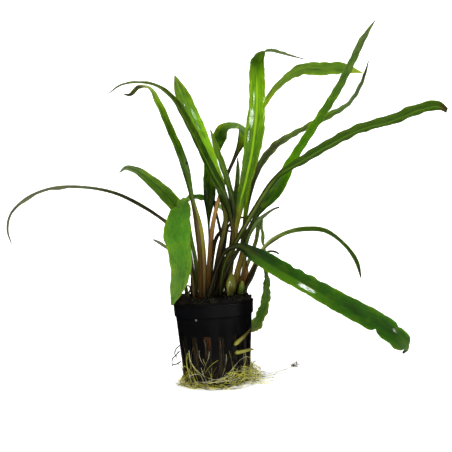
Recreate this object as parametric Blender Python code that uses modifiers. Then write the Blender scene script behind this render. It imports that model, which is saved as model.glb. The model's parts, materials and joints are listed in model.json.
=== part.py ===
# Potted cryptocoryne: a slotted black net pot, a plug of dark growing wool, long strap leaves
# on channelled stalks, and loose roots round the foot of the pot.
# Lengths in the constants and routes are millimetres, and MM turns them to metres, +Z up.
# The origin is the middle of the pot's underside, on the surface that the plant stands on.
# The front of the plant faces -Y.
import math

import bmesh
import bpy
import numpy as np
from mathutils import Vector

MM = 0.001
GAP = 0.3
SHARP_ANGLE = 40.0
MERGE_DISTANCE = 0.00001

# Pot
POT_HEIGHT = 52.0
RIM_RADIUS = 26.1
RIM_BAND = 8.7
RIM_TAPER = 0.5
BAND_STEP = 0.9
FOOT_RADIUS = 21.3
WALL = 1.0
RIM_WALL = 1.4
FLOOR = 1.2
RIM_CHAMFER = 0.4
BAND_BEVEL = 0.5
FOOT_BEVEL = 0.5
POT_SIDES = 40
SLOT_COUNT = 16
SLOT_WIDTH = 4.8
SLOT_BOTTOM = 3.2
SLOT_TOP = 32.0
SLOT_CUT_MIDDLE = 24.0
SLOT_CUT_DEPTH = 16.0
FLOOR_SLOT_COUNT = 8
FLOOR_SLOT_WIDTH = 3.0
FLOOR_SLOT_INNER = 8.0
FLOOR_SLOT_OUTER = 17.0
FLOOR_CUT_HEIGHT = 3.0

# Growing wool
WOOL_TOP = 54.7
WOOL_FLAT_RADIUS = 23.0
WOOL_SHOULDER_RADIUS = 24.2
WOOL_SHOULDER_DROP = 1.2
WOOL_SLACK = 0.2
WOOL_SIDES = 36

# Root mat round the pot's foot: width and height at the pot, by the angle from +X
MAT_STATIONS = 48
MAT_WIDTH = 6.4
MAT_HEIGHT = 9.0
MAT_TUFT_ANGLE = -10.0
MAT_TUFT_SPREAD = 42.0
MAT_TUFT_WIDTH = 7.0
MAT_TUFT_HEIGHT = 6.5
MAT_WIDTH_LUMP = 1.1
MAT_HEIGHT_LUMP = 1.6
MAT_CLEARANCE = 0.4
MAT_EDGE_HEIGHT = 1.1
MAT_EDGE_UNDERCUT = 0.8
MAT_TOP_THICKNESS = 0.9
MAT_TOP_DROP = 0.3
MAT_SHOULDER_OUT = 0.55
MAT_SHOULDER_UP = 0.45

# Leaves
LEAF_STATIONS = 21
STALK_STATIONS = 8
BEND_CARE = 14.0
BLADE_HALF_THICKNESS = 0.32
MIDRIB_HALF_THICKNESS = 0.55
STALK_FLATNESS = 0.8
CHANNEL_SLOPE = 0.24
WAVE_LENGTH = 27.0
WAVE_FADE = 20.0
SMALLEST_HALF_WIDTH = 0.3
TIP_WIDTH_SHARE = 0.8
TIP_THICKNESS_SHARE = 0.5
ROUTE_SAMPLES = 16
STALK_SIDES = 6

# Colours
LEAF_GREEN = (0.05, 0.16, 0.012)
PALE_SHOOT = (0.30, 0.28, 0.07)
GREEN_SHOOT = (0.16, 0.26, 0.03)
DARK_STALK = (0.035, 0.04, 0.015)
PALE_ROOT = (0.35, 0.33, 0.09)

# Each leaf: the rows that are stalk, the height of the waves along its edges, and its route.
# A row is x, y, z, half the width, and the turn of the blade in degrees.
LEAVES = {
    "leaf_far_left": (
        4,
        0.0,
        [
            (-13.5, 3, 55, 1.5, -40),
            (-13, 4, 77.5, 1.3, -45),
            (-17.5, 6, 96, 1.3, -55),
            (-29, 8, 105, 1.8, -68),
            (-43.5, 10, 115.5, 3, -74),
            (-62, 12, 125.5, 4.8, -78),
            (-83, 12, 130.5, 5.4, -80),
            (-104.5, 10, 130.5, 5, -78),
            (-121, 8, 124, 4, -72),
            (-131.5, 6, 114, 2.8, -66),
            (-134, 5, 105, 1.6, -60),
            (-132.5, 5, 98, 0.4, -50),
        ],
    ),
    "leaf_left": (
        3,
        0.3,
        [
            (-11, -3, 55, 1.6, -30),
            (-10, -2, 77.5, 1.4, -30),
            (-13, 2, 94.5, 1.7, -25),
            (-19.5, 8, 108, 3.4, -25),
            (-28, 13, 121, 5.2, -35),
            (-39.5, 18, 133, 5.4, -52),
            (-49, 20, 141, 3.6, -62),
            (-55, 21, 142.5, 2.2, -60),
            (-59.5, 21, 139.5, 0.4, -50),
        ],
    ),
    "leaf_front_left": (
        4,
        0.5,
        [
            (2, 11, 55, 1.6, 0),
            (8, 18, 80.5, 1.5, -10),
            (12, 23, 95.5, 1.6, -30),
            (11.5, 24, 108, 2.4, -60),
            (3.5, 23, 115.5, 3.6, -62),
            (-6, 14, 119.5, 4, -60),
            (-13, -2, 118.5, 3.2, -55),
            (-15.5, -14, 116.5, 3.4, -25),
            (-15.5, -26, 112.5, 5.2, -8),
            (-17, -37, 106.5, 6.8, 0),
            (-18, -47, 98, 8, 0),
            (-16.5, -56, 86, 6.6, 0),
            (-16.5, -60, 77, 6, 0),
            (-19, -62, 67.5, 3.8, 0),
            (-22, -64, 57.5, 0.6, 0),
        ],
    ),
    "leaf_upper_left_inner": (
        4,
        0.4,
        [
            (-6.5, -10, 55, 2.6, -20),
            (-5.5, -11, 78, 2.8, -20),
            (-6.5, -12, 99.5, 2.7, -20),
            (-9.5, -12, 118, 2, -25),
            (-13.5, -17, 141, 4.2, -38),
            (-21.5, -22, 163.5, 4.4, -55),
            (-27.5, -27, 179, 3.8, -60),
            (-32.5, -31, 187, 3.2, -70),
            (-37.5, -33, 186.5, 2.6, -70),
            (-43, -35, 182, 1.2, -60),
            (-46.5, -35, 182.5, 0.4, -60),
        ],
    ),
    "leaf_upper_left_outer": (
        4,
        0.3,
        [
            (3, -2, 55, 1.6, -10),
            (11, -3, 80, 1.5, -15),
            (13.5, -5, 93.5, 1.5, -20),
            (13.5, -8, 107.5, 2.2, -30),
            (9, -13, 122.5, 4.4, -45),
            (0, -18, 143.5, 5.4, -55),
            (-9.5, -25, 165, 5.4, -62),
            (-18.5, -32, 180.5, 4.8, -70),
            (-26, -37, 186.5, 4.2, -80),
            (-35.5, -43, 188, 3.4, -85),
            (-46.5, -47, 186, 2, -80),
            (-53.5, -49, 181, 0.4, -70),
        ],
    ),
    "leaf_upper_left_bright": (
        3,
        0.3,
        [
            (-1, -5, 55, 1.8, 0),
            (6, -4, 84.5, 1.8, 0),
            (11, -5, 105.5, 1.7, -10),
            (9.5, -6, 121, 3, -20),
            (3.5, -8, 139, 5, -20),
            (-3.5, -11, 158, 6.2, -15),
            (-10, -15, 174.5, 5.8, -15),
            (-13.5, -19, 186.5, 4, -15),
            (-16, -21.5, 195, 0.4, -15),
        ],
    ),
    "leaf_short_pointed": (
        3,
        0.2,
        [
            (8.5, 6, 55, 1.5, -20),
            (12.5, 5, 80, 1.3, -20),
            (16, 5, 102, 1.4, -25),
            (15.5, 6, 118, 2.4, -40),
            (11.5, 5, 136, 4.2, -50),
            (7, 3, 151, 3.8, -48),
            (4, 0, 163, 0.4, -40),
        ],
    ),
    "leaf_back_arching": (
        6,
        0.3,
        [
            (-3.5, 2, 55, 2, 0),
            (-1, 1, 77, 1.8, 0),
            (1, 1, 94, 1.6, 0),
            (5.5, 3, 113, 1.3, 10),
            (12.5, 8, 131.5, 1.2, 10),
            (20, 15, 147, 1.4, 0),
            (25.5, 25, 159.5, 3.4, -20),
            (25, 34, 166.5, 4.8, -55),
            (17.5, 40, 168, 5.4, -50),
            (10.5, 43, 164.5, 5.4, -30),
            (7, 44, 158, 3.6, -20),
            (5.5, 44, 149.5, 0.5, -20),
        ],
    ),
    "leaf_centre_bright": (
        3,
        0.5,
        [
            (9.5, -2.5, 55, 1.9, 0),
            (13.5, 0, 79, 1.8, 0),
            (17.5, 0.5, 98.5, 1.9, 0),
            (21, -2, 114.5, 2.8, 0),
            (25.5, -6, 130, 3.9, 0),
            (29.5, -8, 145, 5.2, 0),
            (32.5, -8, 160.5, 6.2, 0),
            (34.5, -8, 175.5, 5.3, 0),
            (35.5, -8, 192, 5.2, 5),
            (36.5, -6, 204, 4.8, 25),
            (39.5, 3, 211.5, 4.4, 55),
            (46, 17, 216, 3.8, 75),
            (55, 31, 217, 3, 85),
            (64.5, 42, 216.5, 1.8, 85),
            (74, 52, 216, 0.4, 85),
        ],
    ),
    "leaf_back_right_flat": (
        4,
        0.9,
        [
            (13, 2, 55, 2.6, 20),
            (18, 1, 70, 2.3, 20),
            (21, 3, 83.5, 1.7, 20),
            (23.5, 8, 102, 1.5, 25),
            (27, 14, 126.5, 2, 35),
            (32, 22, 153.5, 3.6, 45),
            (42, 31, 182.5, 4.8, 60),
            (54, 39, 197.5, 5.2, 70),
            (70.5, 48, 208.5, 5.6, 95),
            (86.5, 55, 209.5, 5.8, 118),
            (101.5, 60, 210, 4.8, 120),
            (117.5, 65, 206.5, 0.4, 110),
        ],
    ),
    "leaf_back_right_dark": (
        4,
        0.6,
        [
            (20.5, 8, 55, 1.5, 30),
            (23, 9, 68.5, 1.3, 30),
            (22.5, 12, 83, 1.2, 30),
            (25, 18, 108.5, 1.4, 35),
            (32.5, 26, 133, 2.8, 45),
            (48.5, 37, 153.5, 4.8, 55),
            (69.5, 49, 165.5, 5, 60),
            (91, 59, 176, 5, 50),
            (107.5, 68, 186, 4.2, 50),
            (118, 74, 201, 3.4, 50),
            (125, 79, 218, 0.4, 50),
        ],
    ),
    "leaf_thin_upright": (
        3,
        0.0,
        [
            (5.5, 12, 55, 1.3, -40),
            (12, 13, 80.5, 1.2, -40),
            (15.5, 13, 102, 1.2, -45),
            (18.5, 13, 121.5, 2.2, -50),
            (20.5, 13, 135.5, 2.2, -50),
            (21, 13, 145, 0.4, -50),
        ],
    ),
    "leaf_tall_right": (
        3,
        0.9,
        [
            (1.5, -9, 55, 1.9, 10),
            (7, -11, 73, 1.8, 10),
            (18.5, -10, 89.5, 1.9, 15),
            (30.5, -7, 104, 2.8, 15),
            (43, -3, 121.5, 5.2, 20),
            (55.5, 3, 139, 5.6, 45),
            (72, 12, 161.5, 5.4, 55),
            (89.5, 21, 185, 5, 52),
            (103.5, 30, 207.5, 4.2, 50),
            (113, 37, 224.5, 2.8, 40),
            (123.5, 43, 239, 0.4, 40),
        ],
    ),
    "leaf_long_right": (
        4,
        0.9,
        [
            (7, -10.5, 55, 1.8, 20),
            (12.5, -14, 76, 1.6, 25),
            (22, -15, 92, 1.5, 35),
            (33, -14, 111, 1.6, 40),
            (47, -13, 129, 2.2, 45),
            (63.5, -14, 140, 4.6, 50),
            (79, -16, 148, 5.6, 56),
            (97.5, -18, 156.5, 6, 58),
            (116.5, -20, 163.5, 5.8, 58),
            (137, -22, 168.5, 5, 58),
            (146.5, -23, 167.5, 3.6, 58),
            (151, -23, 164, 0.8, 58),
        ],
    ),
    "leaf_front_right": (
        4,
        0.7,
        [
            (-3, -14.5, 55, 1.6, 0),
            (4, -17, 74, 1.4, 0),
            (10, -21, 84.5, 1.4, 5),
            (17.5, -25, 87.5, 2, 10),
            (27.5, -29, 82, 4.8, 12),
            (42, -34, 72.5, 6.3, 12),
            (58, -40, 63, 6.5, 12),
            (73.5, -46, 53, 6.9, 12),
            (85.5, -50.5, 46, 7.5, 12),
            (97.5, -55, 38.5, 7, 12),
            (104.5, -58, 32.5, 6, 12),
            (108.5, -60, 27, 3.4, 12),
            (109.5, -60.5, 25, 1.6, 12),
        ],
    ),
    "leaf_right_arching": (
        4,
        0.0,
        [
            (20, 2.5, 55, 1.5, 40),
            (24.5, 3, 66.5, 1.4, 40),
            (29, 5, 74.5, 1.4, 40),
            (35, 8, 84, 1.4, 50),
            (45.5, 12, 91, 2.4, 62),
            (62.5, 17, 94.5, 4.2, 68),
            (78, 22, 92.5, 4.6, 68),
            (91, 26, 82.5, 3.8, 66),
            (99.5, 28.5, 69.5, 2.4, 62),
            (102, 29, 59, 0.4, 55),
        ],
    ),
    "leaf_drooping_right": (
        3,
        0.8,
        [
            (16, 12.5, 55, 1.4, 0),
            (23.5, 18, 72, 1.3, 0),
            (30, 25, 87.5, 1.5, 10),
            (35, 30, 92, 2, 40),
            (37, 34, 81.5, 2.8, 50),
            (37, 35, 69, 2.2, 50),
            (37, 35, 57, 2.4, 50),
            (35, 34, 44.5, 4, 40),
            (31, 33, 35, 4.2, 35),
            (26, 32, 28, 1.8, 30),
            (24, 32, 25.5, 0.5, 30),
        ],
    ),
    "leaf_dark_back": (
        3,
        0.2,
        [
            (-5, 8, 55, 1.6, 0),
            (-1, 11.5, 79, 1.4, 0),
            (0.5, 11.5, 103, 1.7, -5),
            (1, 9.5, 121, 4.2, -20),
            (2, 11, 141, 4.4, -30),
            (2, 13, 153.5, 2.6, -30),
            (1.5, 14, 162, 0.4, -30),
        ],
    ),
}

# Each round stalk, shoot or root: its colour, and rows of x, y, z and radius.
STALKS = {
    "shoot_pale": (
        PALE_SHOOT,
        [
            (13, -8.5, 55, 2.2),
            (13, -8.5, 57.5, 2.2),
            (12.5, -8.5, 60.5, 2.4),
            (13, -8.5, 64.5, 1.8),
            (13.5, -8, 69.5, 0.4),
        ],
    ),
    "shoot_green": (
        GREEN_SHOOT,
        [
            (17.5, -4, 55, 1.3),
            (17.5, -4, 57.5, 1.3),
            (18.5, -4, 59.5, 1.4),
            (19.5, -4, 64, 0.4),
        ],
    ),
    "stalk_bare_right": (
        DARK_STALK,
        [
            (17, 6.5, 55, 1.3),
            (17, 6.5, 57.5, 1.3),
            (20.5, 5, 69, 1.2),
            (22.5, 5, 81, 1.1),
            (25.5, 6, 92.5, 1.1),
            (32, 8, 102, 1.1),
            (38, 10, 106.5, 0.9),
            (43.5, 11, 109.5, 0.7),
            (47, 12, 110.5, 0.6),
        ],
    ),
    "stalk_bare_low": (
        DARK_STALK,
        [
            (21.3, -3.5, 55, 1.1),
            (21.3, -3.5, 57.5, 1.1),
            (26, -2, 66, 1),
            (30.5, 2, 74.5, 0.9),
            (35, 6, 80, 0.8),
            (39, 9, 81.5, 0.8),
            (42.5, 10, 81, 0.7),
            (45, 11, 79.5, 0.6),
        ],
    ),
    "stub_left": (
        DARK_STALK,
        [
            (-17, -2, 55, 1.2),
            (-17, -2, 57.5, 1.2),
            (-17, -3, 60, 1.2),
            (-18, -4, 64, 1),
        ],
    ),
    "curl_left": (
        DARK_STALK,
        [
            (-15.5, -6.5, 55, 0.6),
            (-15.5, -6.5, 57.5, 0.6),
            (-14, -7, 61, 0.6),
            (-15, -8, 63, 0.5),
            (-16.5, -8.5, 63, 0.4),
        ],
    ),
    "thin_leaf_left": (
        DARK_STALK,
        [
            (-12, -9, 55, 1),
            (-12, -9, 57.5, 1),
            (-12.5, -10, 69.5, 0.9),
            (-15.5, -13, 78, 0.9),
            (-21.5, -16, 85, 0.9),
            (-27.5, -18, 89, 1),
            (-31.5, -19, 92, 0.9),
            (-35, -19, 94, 0.5),
        ],
    ),
    "small_arch_middle": (
        DARK_STALK,
        [
            (-0.5, 6.5, 55, 1.2),
            (-0.5, 6.5, 57.5, 1.2),
            (0, 7, 74, 1.2),
            (1.5, 8, 83, 1.3),
            (3.5, 10, 91, 1.3),
            (6.5, 13, 95.5, 1.1),
            (10.5, 17, 96.5, 0.9),
            (15, 20, 95.5, 0.5),
        ],
    ),
    "small_arch_back": (
        DARK_STALK,
        [
            (10, 16.5, 55, 0.9),
            (10, 16.5, 57.5, 0.9),
            (9.5, 19, 72.5, 0.8),
            (11, 24, 88, 0.7),
            (14.5, 28, 100, 0.7),
            (19.5, 32, 104.5, 0.7),
            (24.5, 35, 104.5, 0.7),
            (29, 37, 101, 0.6),
            (30.5, 38, 96.5, 0.4),
        ],
    ),
    "runner_tip_upper": (
        PALE_ROOT,
        [
            (12.3, -21.6, 25.9, 1),
            (15.4, -19.9, 28.2, 1.1),
            (18.8, -17.2, 30.6, 1.1),
            (22.2, -12.6, 33.2, 0.9),
            (23.4, -10.6, 34.6, 0.5),
        ],
    ),
    "runner_tip_lower": (
        PALE_ROOT,
        [
            (12.4, -21.2, 19.8, 0.9),
            (15, -19.5, 20.2, 1),
            (18.6, -16.1, 20.8, 1),
            (22.3, -10.4, 20.6, 0.9),
            (24.2, -6.2, 19.8, 0.5),
        ],
    ),
    "trailing_root": (
        PALE_ROOT,
        [
            (36.6, 2.5, 0.7, 0.5),
            (39, 9.5, 0.7, 0.5),
            (43, 15.5, 0.7, 0.5),
            (47.5, 20, 0.8, 0.5),
            (51.5, 25.5, 1, 0.7),
            (54.2, 30, 1.3, 1.1),
            (56.2, 30.8, 1.1, 0.8),
            (58, 29.5, 0.8, 0.5),
        ],
    ),
}


def new_collection(name):
    collection = bpy.data.collections.new(name)
    bpy.context.scene.collection.children.link(collection)
    return collection


def new_material(name, colour, roughness):
    material = bpy.data.materials.new(name)
    material.use_nodes = True
    shader = material.node_tree.nodes["Principled BSDF"]
    shader.inputs["Base Color"].default_value = (*colour, 1.0)
    shader.inputs["Roughness"].default_value = roughness
    shader.inputs["Metallic"].default_value = 0.0
    return material


def add_object(name, data, collection, material=None):
    thing = bpy.data.objects.new(name, data)
    collection.objects.link(thing)
    if material:
        data.materials.append(material)
    return thing


def to_mesh(name, shape, smooth=True):
    mesh = bpy.data.meshes.new(name)
    shape.to_mesh(mesh)
    shape.free()
    if smooth:
        mesh.shade_smooth()
        mesh.set_sharp_from_angle(angle=math.radians(SHARP_ANGLE))
    return mesh


def smooth_route(rows):
    # A cubic through every row, closely sampled. Each row is x, y, z and what goes with them.
    rows = np.array(rows, dtype=float)
    steps = np.linalg.norm(np.diff(rows[:, :3], axis=0), axis=1)
    slopes = np.diff(rows, axis=0) / steps[:, None]
    ends = np.empty_like(rows)
    ends[0] = slopes[0]
    ends[-1] = slopes[-1]
    before = steps[:-1, None]
    after = steps[1:, None]
    ends[1:-1] = (slopes[:-1] * after + slopes[1:] * before) / (before + after)
    fine = []
    for index, step in enumerate(steps):
        for part in np.linspace(0.0, 1.0, ROUTE_SAMPLES, endpoint=False):
            square = part * part
            cube = square * part
            fine.append(
                (2 * cube - 3 * square + 1) * rows[index]
                + (cube - 2 * square + part) * step * ends[index]
                + (3 * square - 2 * cube) * rows[index + 1]
                + (cube - square) * step * ends[index + 1]
            )
    fine.append(rows[-1])
    return np.array(fine)


def stations_along(rows, count):
    # Stations stand closer together where the route bends.
    fine = smooth_route(rows)
    steps = np.diff(fine[:, :3], axis=0)
    lengths = np.linalg.norm(steps, axis=1)
    ways = steps / lengths[:, None]
    turns = np.linalg.norm(np.diff(ways, axis=0), axis=1)
    turns = np.concatenate([[0.0], turns])
    weight = np.concatenate([[0.0], np.cumsum(lengths + BEND_CARE * turns)])
    length = np.concatenate([[0.0], np.cumsum(lengths)])
    wanted = np.linspace(0.0, weight[-1], count)
    found = [np.interp(wanted, weight, fine[:, k]) for k in range(fine.shape[1])]
    return np.stack(found, axis=1), np.interp(wanted, weight, length)


def blade_frame(points, turns):
    # Across lies in the picture plane at a turn of 0, and runs front to back at 90.
    # Face is the way that the blade's upper side looks.
    along = np.gradient(points, axis=0)
    along /= np.linalg.norm(along, axis=1)[:, None]
    front = np.array([0.0, -1.0, 0.0])
    facing = front - (along @ front)[:, None] * along
    facing /= np.linalg.norm(facing, axis=1)[:, None]
    level = np.cross(along, facing)
    turn = np.radians(turns)[:, None]
    across = np.cos(turn) * level + np.sin(turn) * facing
    return across, np.cross(across, along)


def leaf_section(half_width, blade, rise_left, rise_right):
    # Eight points round the leaf: offsets across and along its face.
    # blade is 0 on the stalk, a flattened rod, and 1 on the blade, a shallow channel.
    points = []
    for index in range(8):
        angle = math.pi - index * math.pi / 4
        side = math.cos(angle)
        rod = STALK_FLATNESS * half_width * math.sin(angle)
        place = (-1.0, -0.55, 0.0, 0.55, 1.0, 0.55, 0.0, -0.55)[index]
        thick = (0.0, 1.0, 1.0, 1.0, 0.0, -1.0, -1.0, -1.0)[index]
        half = MIDRIB_HALF_THICKNESS if place == 0.0 else BLADE_HALF_THICKNESS
        rise = rise_left if place < 0 else rise_right
        leaf = CHANNEL_SLOPE * abs(place) * half_width + rise * place * place + thick * half
        points.append(
            (
                half_width * (side + (place - side) * blade),
                rod + (leaf - rod) * blade,
            )
        )
    return points


def loft(name, rings, material, collection):
    shape = bmesh.new()
    loops = [[shape.verts.new(Vector(p) * MM) for p in ring] for ring in rings]
    size = len(loops[0])
    for low, high in zip(loops, loops[1:]):
        for index in range(size):
            after = (index + 1) % size
            shape.faces.new((low[index], low[after], high[after], high[index]))
    shape.faces.new(loops[0][::-1])
    shape.faces.new(loops[-1])
    bmesh.ops.recalc_face_normals(shape, faces=shape.faces)
    return add_object(name, to_mesh(name, shape), collection, material)


def add_leaf(name, stalk_rows, wave, rows, material, collection):
    # The stalk runs to row stalk_rows, and the blade opens over the next stretch.
    opened = [[min(max(i - stalk_rows + 0.5, 0.0), 1.0)] for i in range(len(rows))]
    found, length = stations_along(np.hstack([np.array(rows, float), opened]), LEAF_STATIONS)
    points, half_widths, turns, blades = found[:, :3], found[:, 3], found[:, 4], found[:, 5]
    across, face = blade_frame(points, turns)
    rings = []
    for i, point in enumerate(points):
        half = max(half_widths[i], SMALLEST_HALF_WIDTH)
        blade = min(max(blades[i], 0.0), 1.0)
        phase = 2 * math.pi * length[i] / WAVE_LENGTH
        fade = min(1.0, (length[-1] - length[i]) / WAVE_FADE)
        rise = wave * blade * fade
        section = leaf_section(half, blade, rise * math.sin(phase), rise * math.cos(phase))
        if i == len(points) - 1:
            section = [(a * TIP_WIDTH_SHARE, b * TIP_THICKNESS_SHARE) for a, b in section]
        ring = [point + a * across[i] + b * face[i] for a, b in section]
        if i == 0:
            ring = [(p[0], p[1], point[2]) for p in ring]
        rings.append(ring)
    return loft(name, rings, material, collection)


def add_stalk(name, rows, material, collection):
    # A round stalk or root: a curve with a bevel, whose radius follows the rows.
    found, _ = stations_along(rows, STALK_STATIONS)
    curve = bpy.data.curves.new(name, "CURVE")
    curve.dimensions = "3D"
    curve.bevel_depth = MM
    curve.bevel_resolution = STALK_SIDES // 2 - 2
    curve.use_fill_caps = True
    curve.twist_mode = "MINIMUM"
    spline = curve.splines.new("POLY")
    spline.points.add(len(found) - 1)
    for point, (x, y, z, radius) in zip(spline.points, found):
        point.co = (x * MM, y * MM, z * MM, 1.0)
        point.radius = radius
    return add_object(name, curve, collection, material)


def pot_profile():
    # From the middle of the inside floor, out, up the inside, over the rim and down the outside.
    band_foot = POT_HEIGHT - RIM_BAND
    wall_top = RIM_RADIUS - RIM_TAPER - BAND_STEP
    slope = (wall_top - FOOT_RADIUS) / band_foot
    return [
        (0.0, FLOOR),
        (FOOT_RADIUS - WALL + slope * FLOOR, FLOOR),
        (wall_top - WALL, band_foot),
        (RIM_RADIUS - RIM_WALL, POT_HEIGHT - RIM_CHAMFER),
        (RIM_RADIUS - RIM_WALL + RIM_CHAMFER, POT_HEIGHT),
        (RIM_RADIUS - RIM_CHAMFER, POT_HEIGHT),
        (RIM_RADIUS, POT_HEIGHT - RIM_CHAMFER),
        (RIM_RADIUS - RIM_TAPER, band_foot + BAND_BEVEL),
        (wall_top, band_foot - BAND_BEVEL),
        (FOOT_RADIUS + slope * FOOT_BEVEL, FOOT_BEVEL),
        (FOOT_RADIUS - FOOT_BEVEL, 0.0),
        (0.0, 0.0),
    ]


def pot_outside(height):
    # The outer radius of the pot's wall below its rim band.
    wall_top = RIM_RADIUS - RIM_TAPER - BAND_STEP
    return FOOT_RADIUS + (wall_top - FOOT_RADIUS) * height / (POT_HEIGHT - RIM_BAND)


def add_pot(collection, cutters):
    mesh = bpy.data.meshes.new("pot")
    profile = [(radius * MM, 0.0, height * MM) for radius, height in pot_profile()]
    mesh.from_pydata(profile, [(i, i + 1) for i in range(len(profile) - 1)], [])
    black = new_material("black_polypropylene", (0.012, 0.012, 0.014), 0.5)
    pot = add_object("net_pot", mesh, collection, black)
    turned = pot.modifiers.new("turned", "SCREW")
    turned.steps = POT_SIDES
    turned.render_steps = POT_SIDES
    turned.use_merge_vertices = True
    turned.merge_threshold = MERGE_DISTANCE
    turned.use_smooth_shade = True
    cut = pot.modifiers.new("slots", "BOOLEAN")
    cut.operation = "DIFFERENCE"
    cut.solver = "EXACT"
    cut.object = slot_cutter(cutters)


def slot_cutter(cutters):
    # One box for each slot: tall ones through the wall, flat ones through the floor.
    shape = bmesh.new()
    height = SLOT_TOP - SLOT_BOTTOM
    for index in range(SLOT_COUNT):
        angle = 2 * math.pi * (index + 0.5) / SLOT_COUNT
        box = bmesh.ops.create_cube(shape, size=1.0)["verts"]
        size = Vector((SLOT_CUT_DEPTH, SLOT_WIDTH, height)) * MM
        bmesh.ops.scale(shape, vec=size, verts=box)
        move = Vector((SLOT_CUT_MIDDLE, 0.0, SLOT_BOTTOM + height / 2)) * MM
        bmesh.ops.translate(shape, vec=move, verts=box)
        turn_about_z(shape, box, angle)
    for index in range(FLOOR_SLOT_COUNT):
        angle = 2 * math.pi * index / FLOOR_SLOT_COUNT
        box = bmesh.ops.create_cube(shape, size=1.0)["verts"]
        reach = FLOOR_SLOT_OUTER - FLOOR_SLOT_INNER
        size = Vector((reach, FLOOR_SLOT_WIDTH, FLOOR_CUT_HEIGHT)) * MM
        bmesh.ops.scale(shape, vec=size, verts=box)
        move = Vector((FLOOR_SLOT_INNER + reach / 2, 0.0, FLOOR / 2)) * MM
        bmesh.ops.translate(shape, vec=move, verts=box)
        turn_about_z(shape, box, angle)
    cutter = add_object("slot_cutter", to_mesh("slot_cutter", shape, False), cutters)
    cutter.hide_render = True
    cutter.display_type = "WIRE"
    return cutter


def turn_about_z(shape, verts, angle):
    for vert in verts:
        x, y, z = vert.co
        vert.co = (
            x * math.cos(angle) - y * math.sin(angle),
            x * math.sin(angle) + y * math.cos(angle),
            z,
        )


def add_wool(collection):
    # A plug that fills the pot and stands a little above its rim, flat where the stalks stand.
    wall_top = RIM_RADIUS - RIM_TAPER - BAND_STEP
    band_foot = POT_HEIGHT - RIM_BAND
    slope = (wall_top - FOOT_RADIUS) / band_foot
    low = FLOOR + GAP
    mesh = bpy.data.meshes.new("wool")
    profile = [
        (0.0, WOOL_TOP),
        (WOOL_FLAT_RADIUS, WOOL_TOP),
        (WOOL_SHOULDER_RADIUS, WOOL_TOP - WOOL_SHOULDER_DROP),
        (RIM_RADIUS - RIM_WALL - GAP - WOOL_SLACK, POT_HEIGHT - BAND_BEVEL),
        (wall_top - WALL - GAP - WOOL_SLACK, band_foot),
        (FOOT_RADIUS - WALL - GAP + slope * low - WOOL_SLACK, low),
        (0.0, low),
    ]
    profile = [(radius * MM, 0.0, height * MM) for radius, height in profile]
    mesh.from_pydata(profile, [(i, i + 1) for i in range(len(profile) - 1)], [])
    brown = new_material("dark_growing_wool", (0.022, 0.016, 0.009), 0.95)
    wool = add_object("growing_wool", mesh, collection, brown)
    turned = wool.modifiers.new("turned", "SCREW")
    turned.steps = WOOL_SIDES
    turned.render_steps = WOOL_SIDES
    turned.use_merge_vertices = True
    turned.merge_threshold = MERGE_DISTANCE


def mat_reach(angle):
    # How far the mat spreads from the pot and climbs it, with a tuft on its right.
    away = (math.degrees(angle) - MAT_TUFT_ANGLE + 180) % 360 - 180
    tuft = math.exp(-((away / MAT_TUFT_SPREAD) ** 2))
    lump = 0.55 * math.sin(5 * angle + 0.6) + 0.45 * math.sin(11 * angle + 2.0)
    width = MAT_WIDTH + MAT_TUFT_WIDTH * tuft + MAT_WIDTH_LUMP * lump
    ripple = math.sin(7 * angle + 1.0)
    height = MAT_HEIGHT + MAT_TUFT_HEIGHT * tuft + MAT_HEIGHT_LUMP * ripple
    return width, height


def add_root_mat(collection):
    # A ring whose inner side hugs the pot's wall.
    shape = bmesh.new()
    loops = []
    for station in range(MAT_STATIONS):
        angle = 2 * math.pi * station / MAT_STATIONS
        width, height = mat_reach(angle)
        top = pot_outside(height) + MAT_CLEARANCE
        outline = [
            (FOOT_RADIUS + MAT_CLEARANCE, 0.0),
            (FOOT_RADIUS + width - MAT_EDGE_UNDERCUT, 0.0),
            (FOOT_RADIUS + width, MAT_EDGE_HEIGHT),
            (FOOT_RADIUS + MAT_SHOULDER_OUT * width, MAT_SHOULDER_UP * height),
            (top + MAT_TOP_THICKNESS, height),
            (top, height - MAT_TOP_DROP),
        ]
        loop = []
        for radius, up in outline:
            place = Vector((radius * math.cos(angle), radius * math.sin(angle), up))
            loop.append(shape.verts.new(place * MM))
        loops.append(loop)
    for index, loop in enumerate(loops):
        after = loops[(index + 1) % MAT_STATIONS]
        for k in range(len(loop)):
            nxt = (k + 1) % len(loop)
            shape.faces.new((loop[k], loop[nxt], after[nxt], after[k]))
    bmesh.ops.recalc_face_normals(shape, faces=shape.faces)
    pale = new_material("pale_roots", (0.32, 0.31, 0.08), 0.6)
    add_object("root_mat", to_mesh("root_mat", shape), collection, pale)


def build():
    for thing in list(bpy.data.objects):
        bpy.data.objects.remove(thing, do_unlink=True)
    plant = new_collection("potted_cryptocoryne")
    cutters = new_collection("cutters")
    add_pot(plant, cutters)
    add_wool(plant)
    add_root_mat(plant)
    for name, (stalk_rows, wave, rows) in LEAVES.items():
        green = new_material(f"green_{name}", LEAF_GREEN, 0.35)
        add_leaf(name, stalk_rows, wave, rows, green, plant)
    for name, (colour, rows) in STALKS.items():
        tone = new_material(f"skin_{name}", colour, 0.45)
        add_stalk(name, rows, tone, plant)


build()
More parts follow.
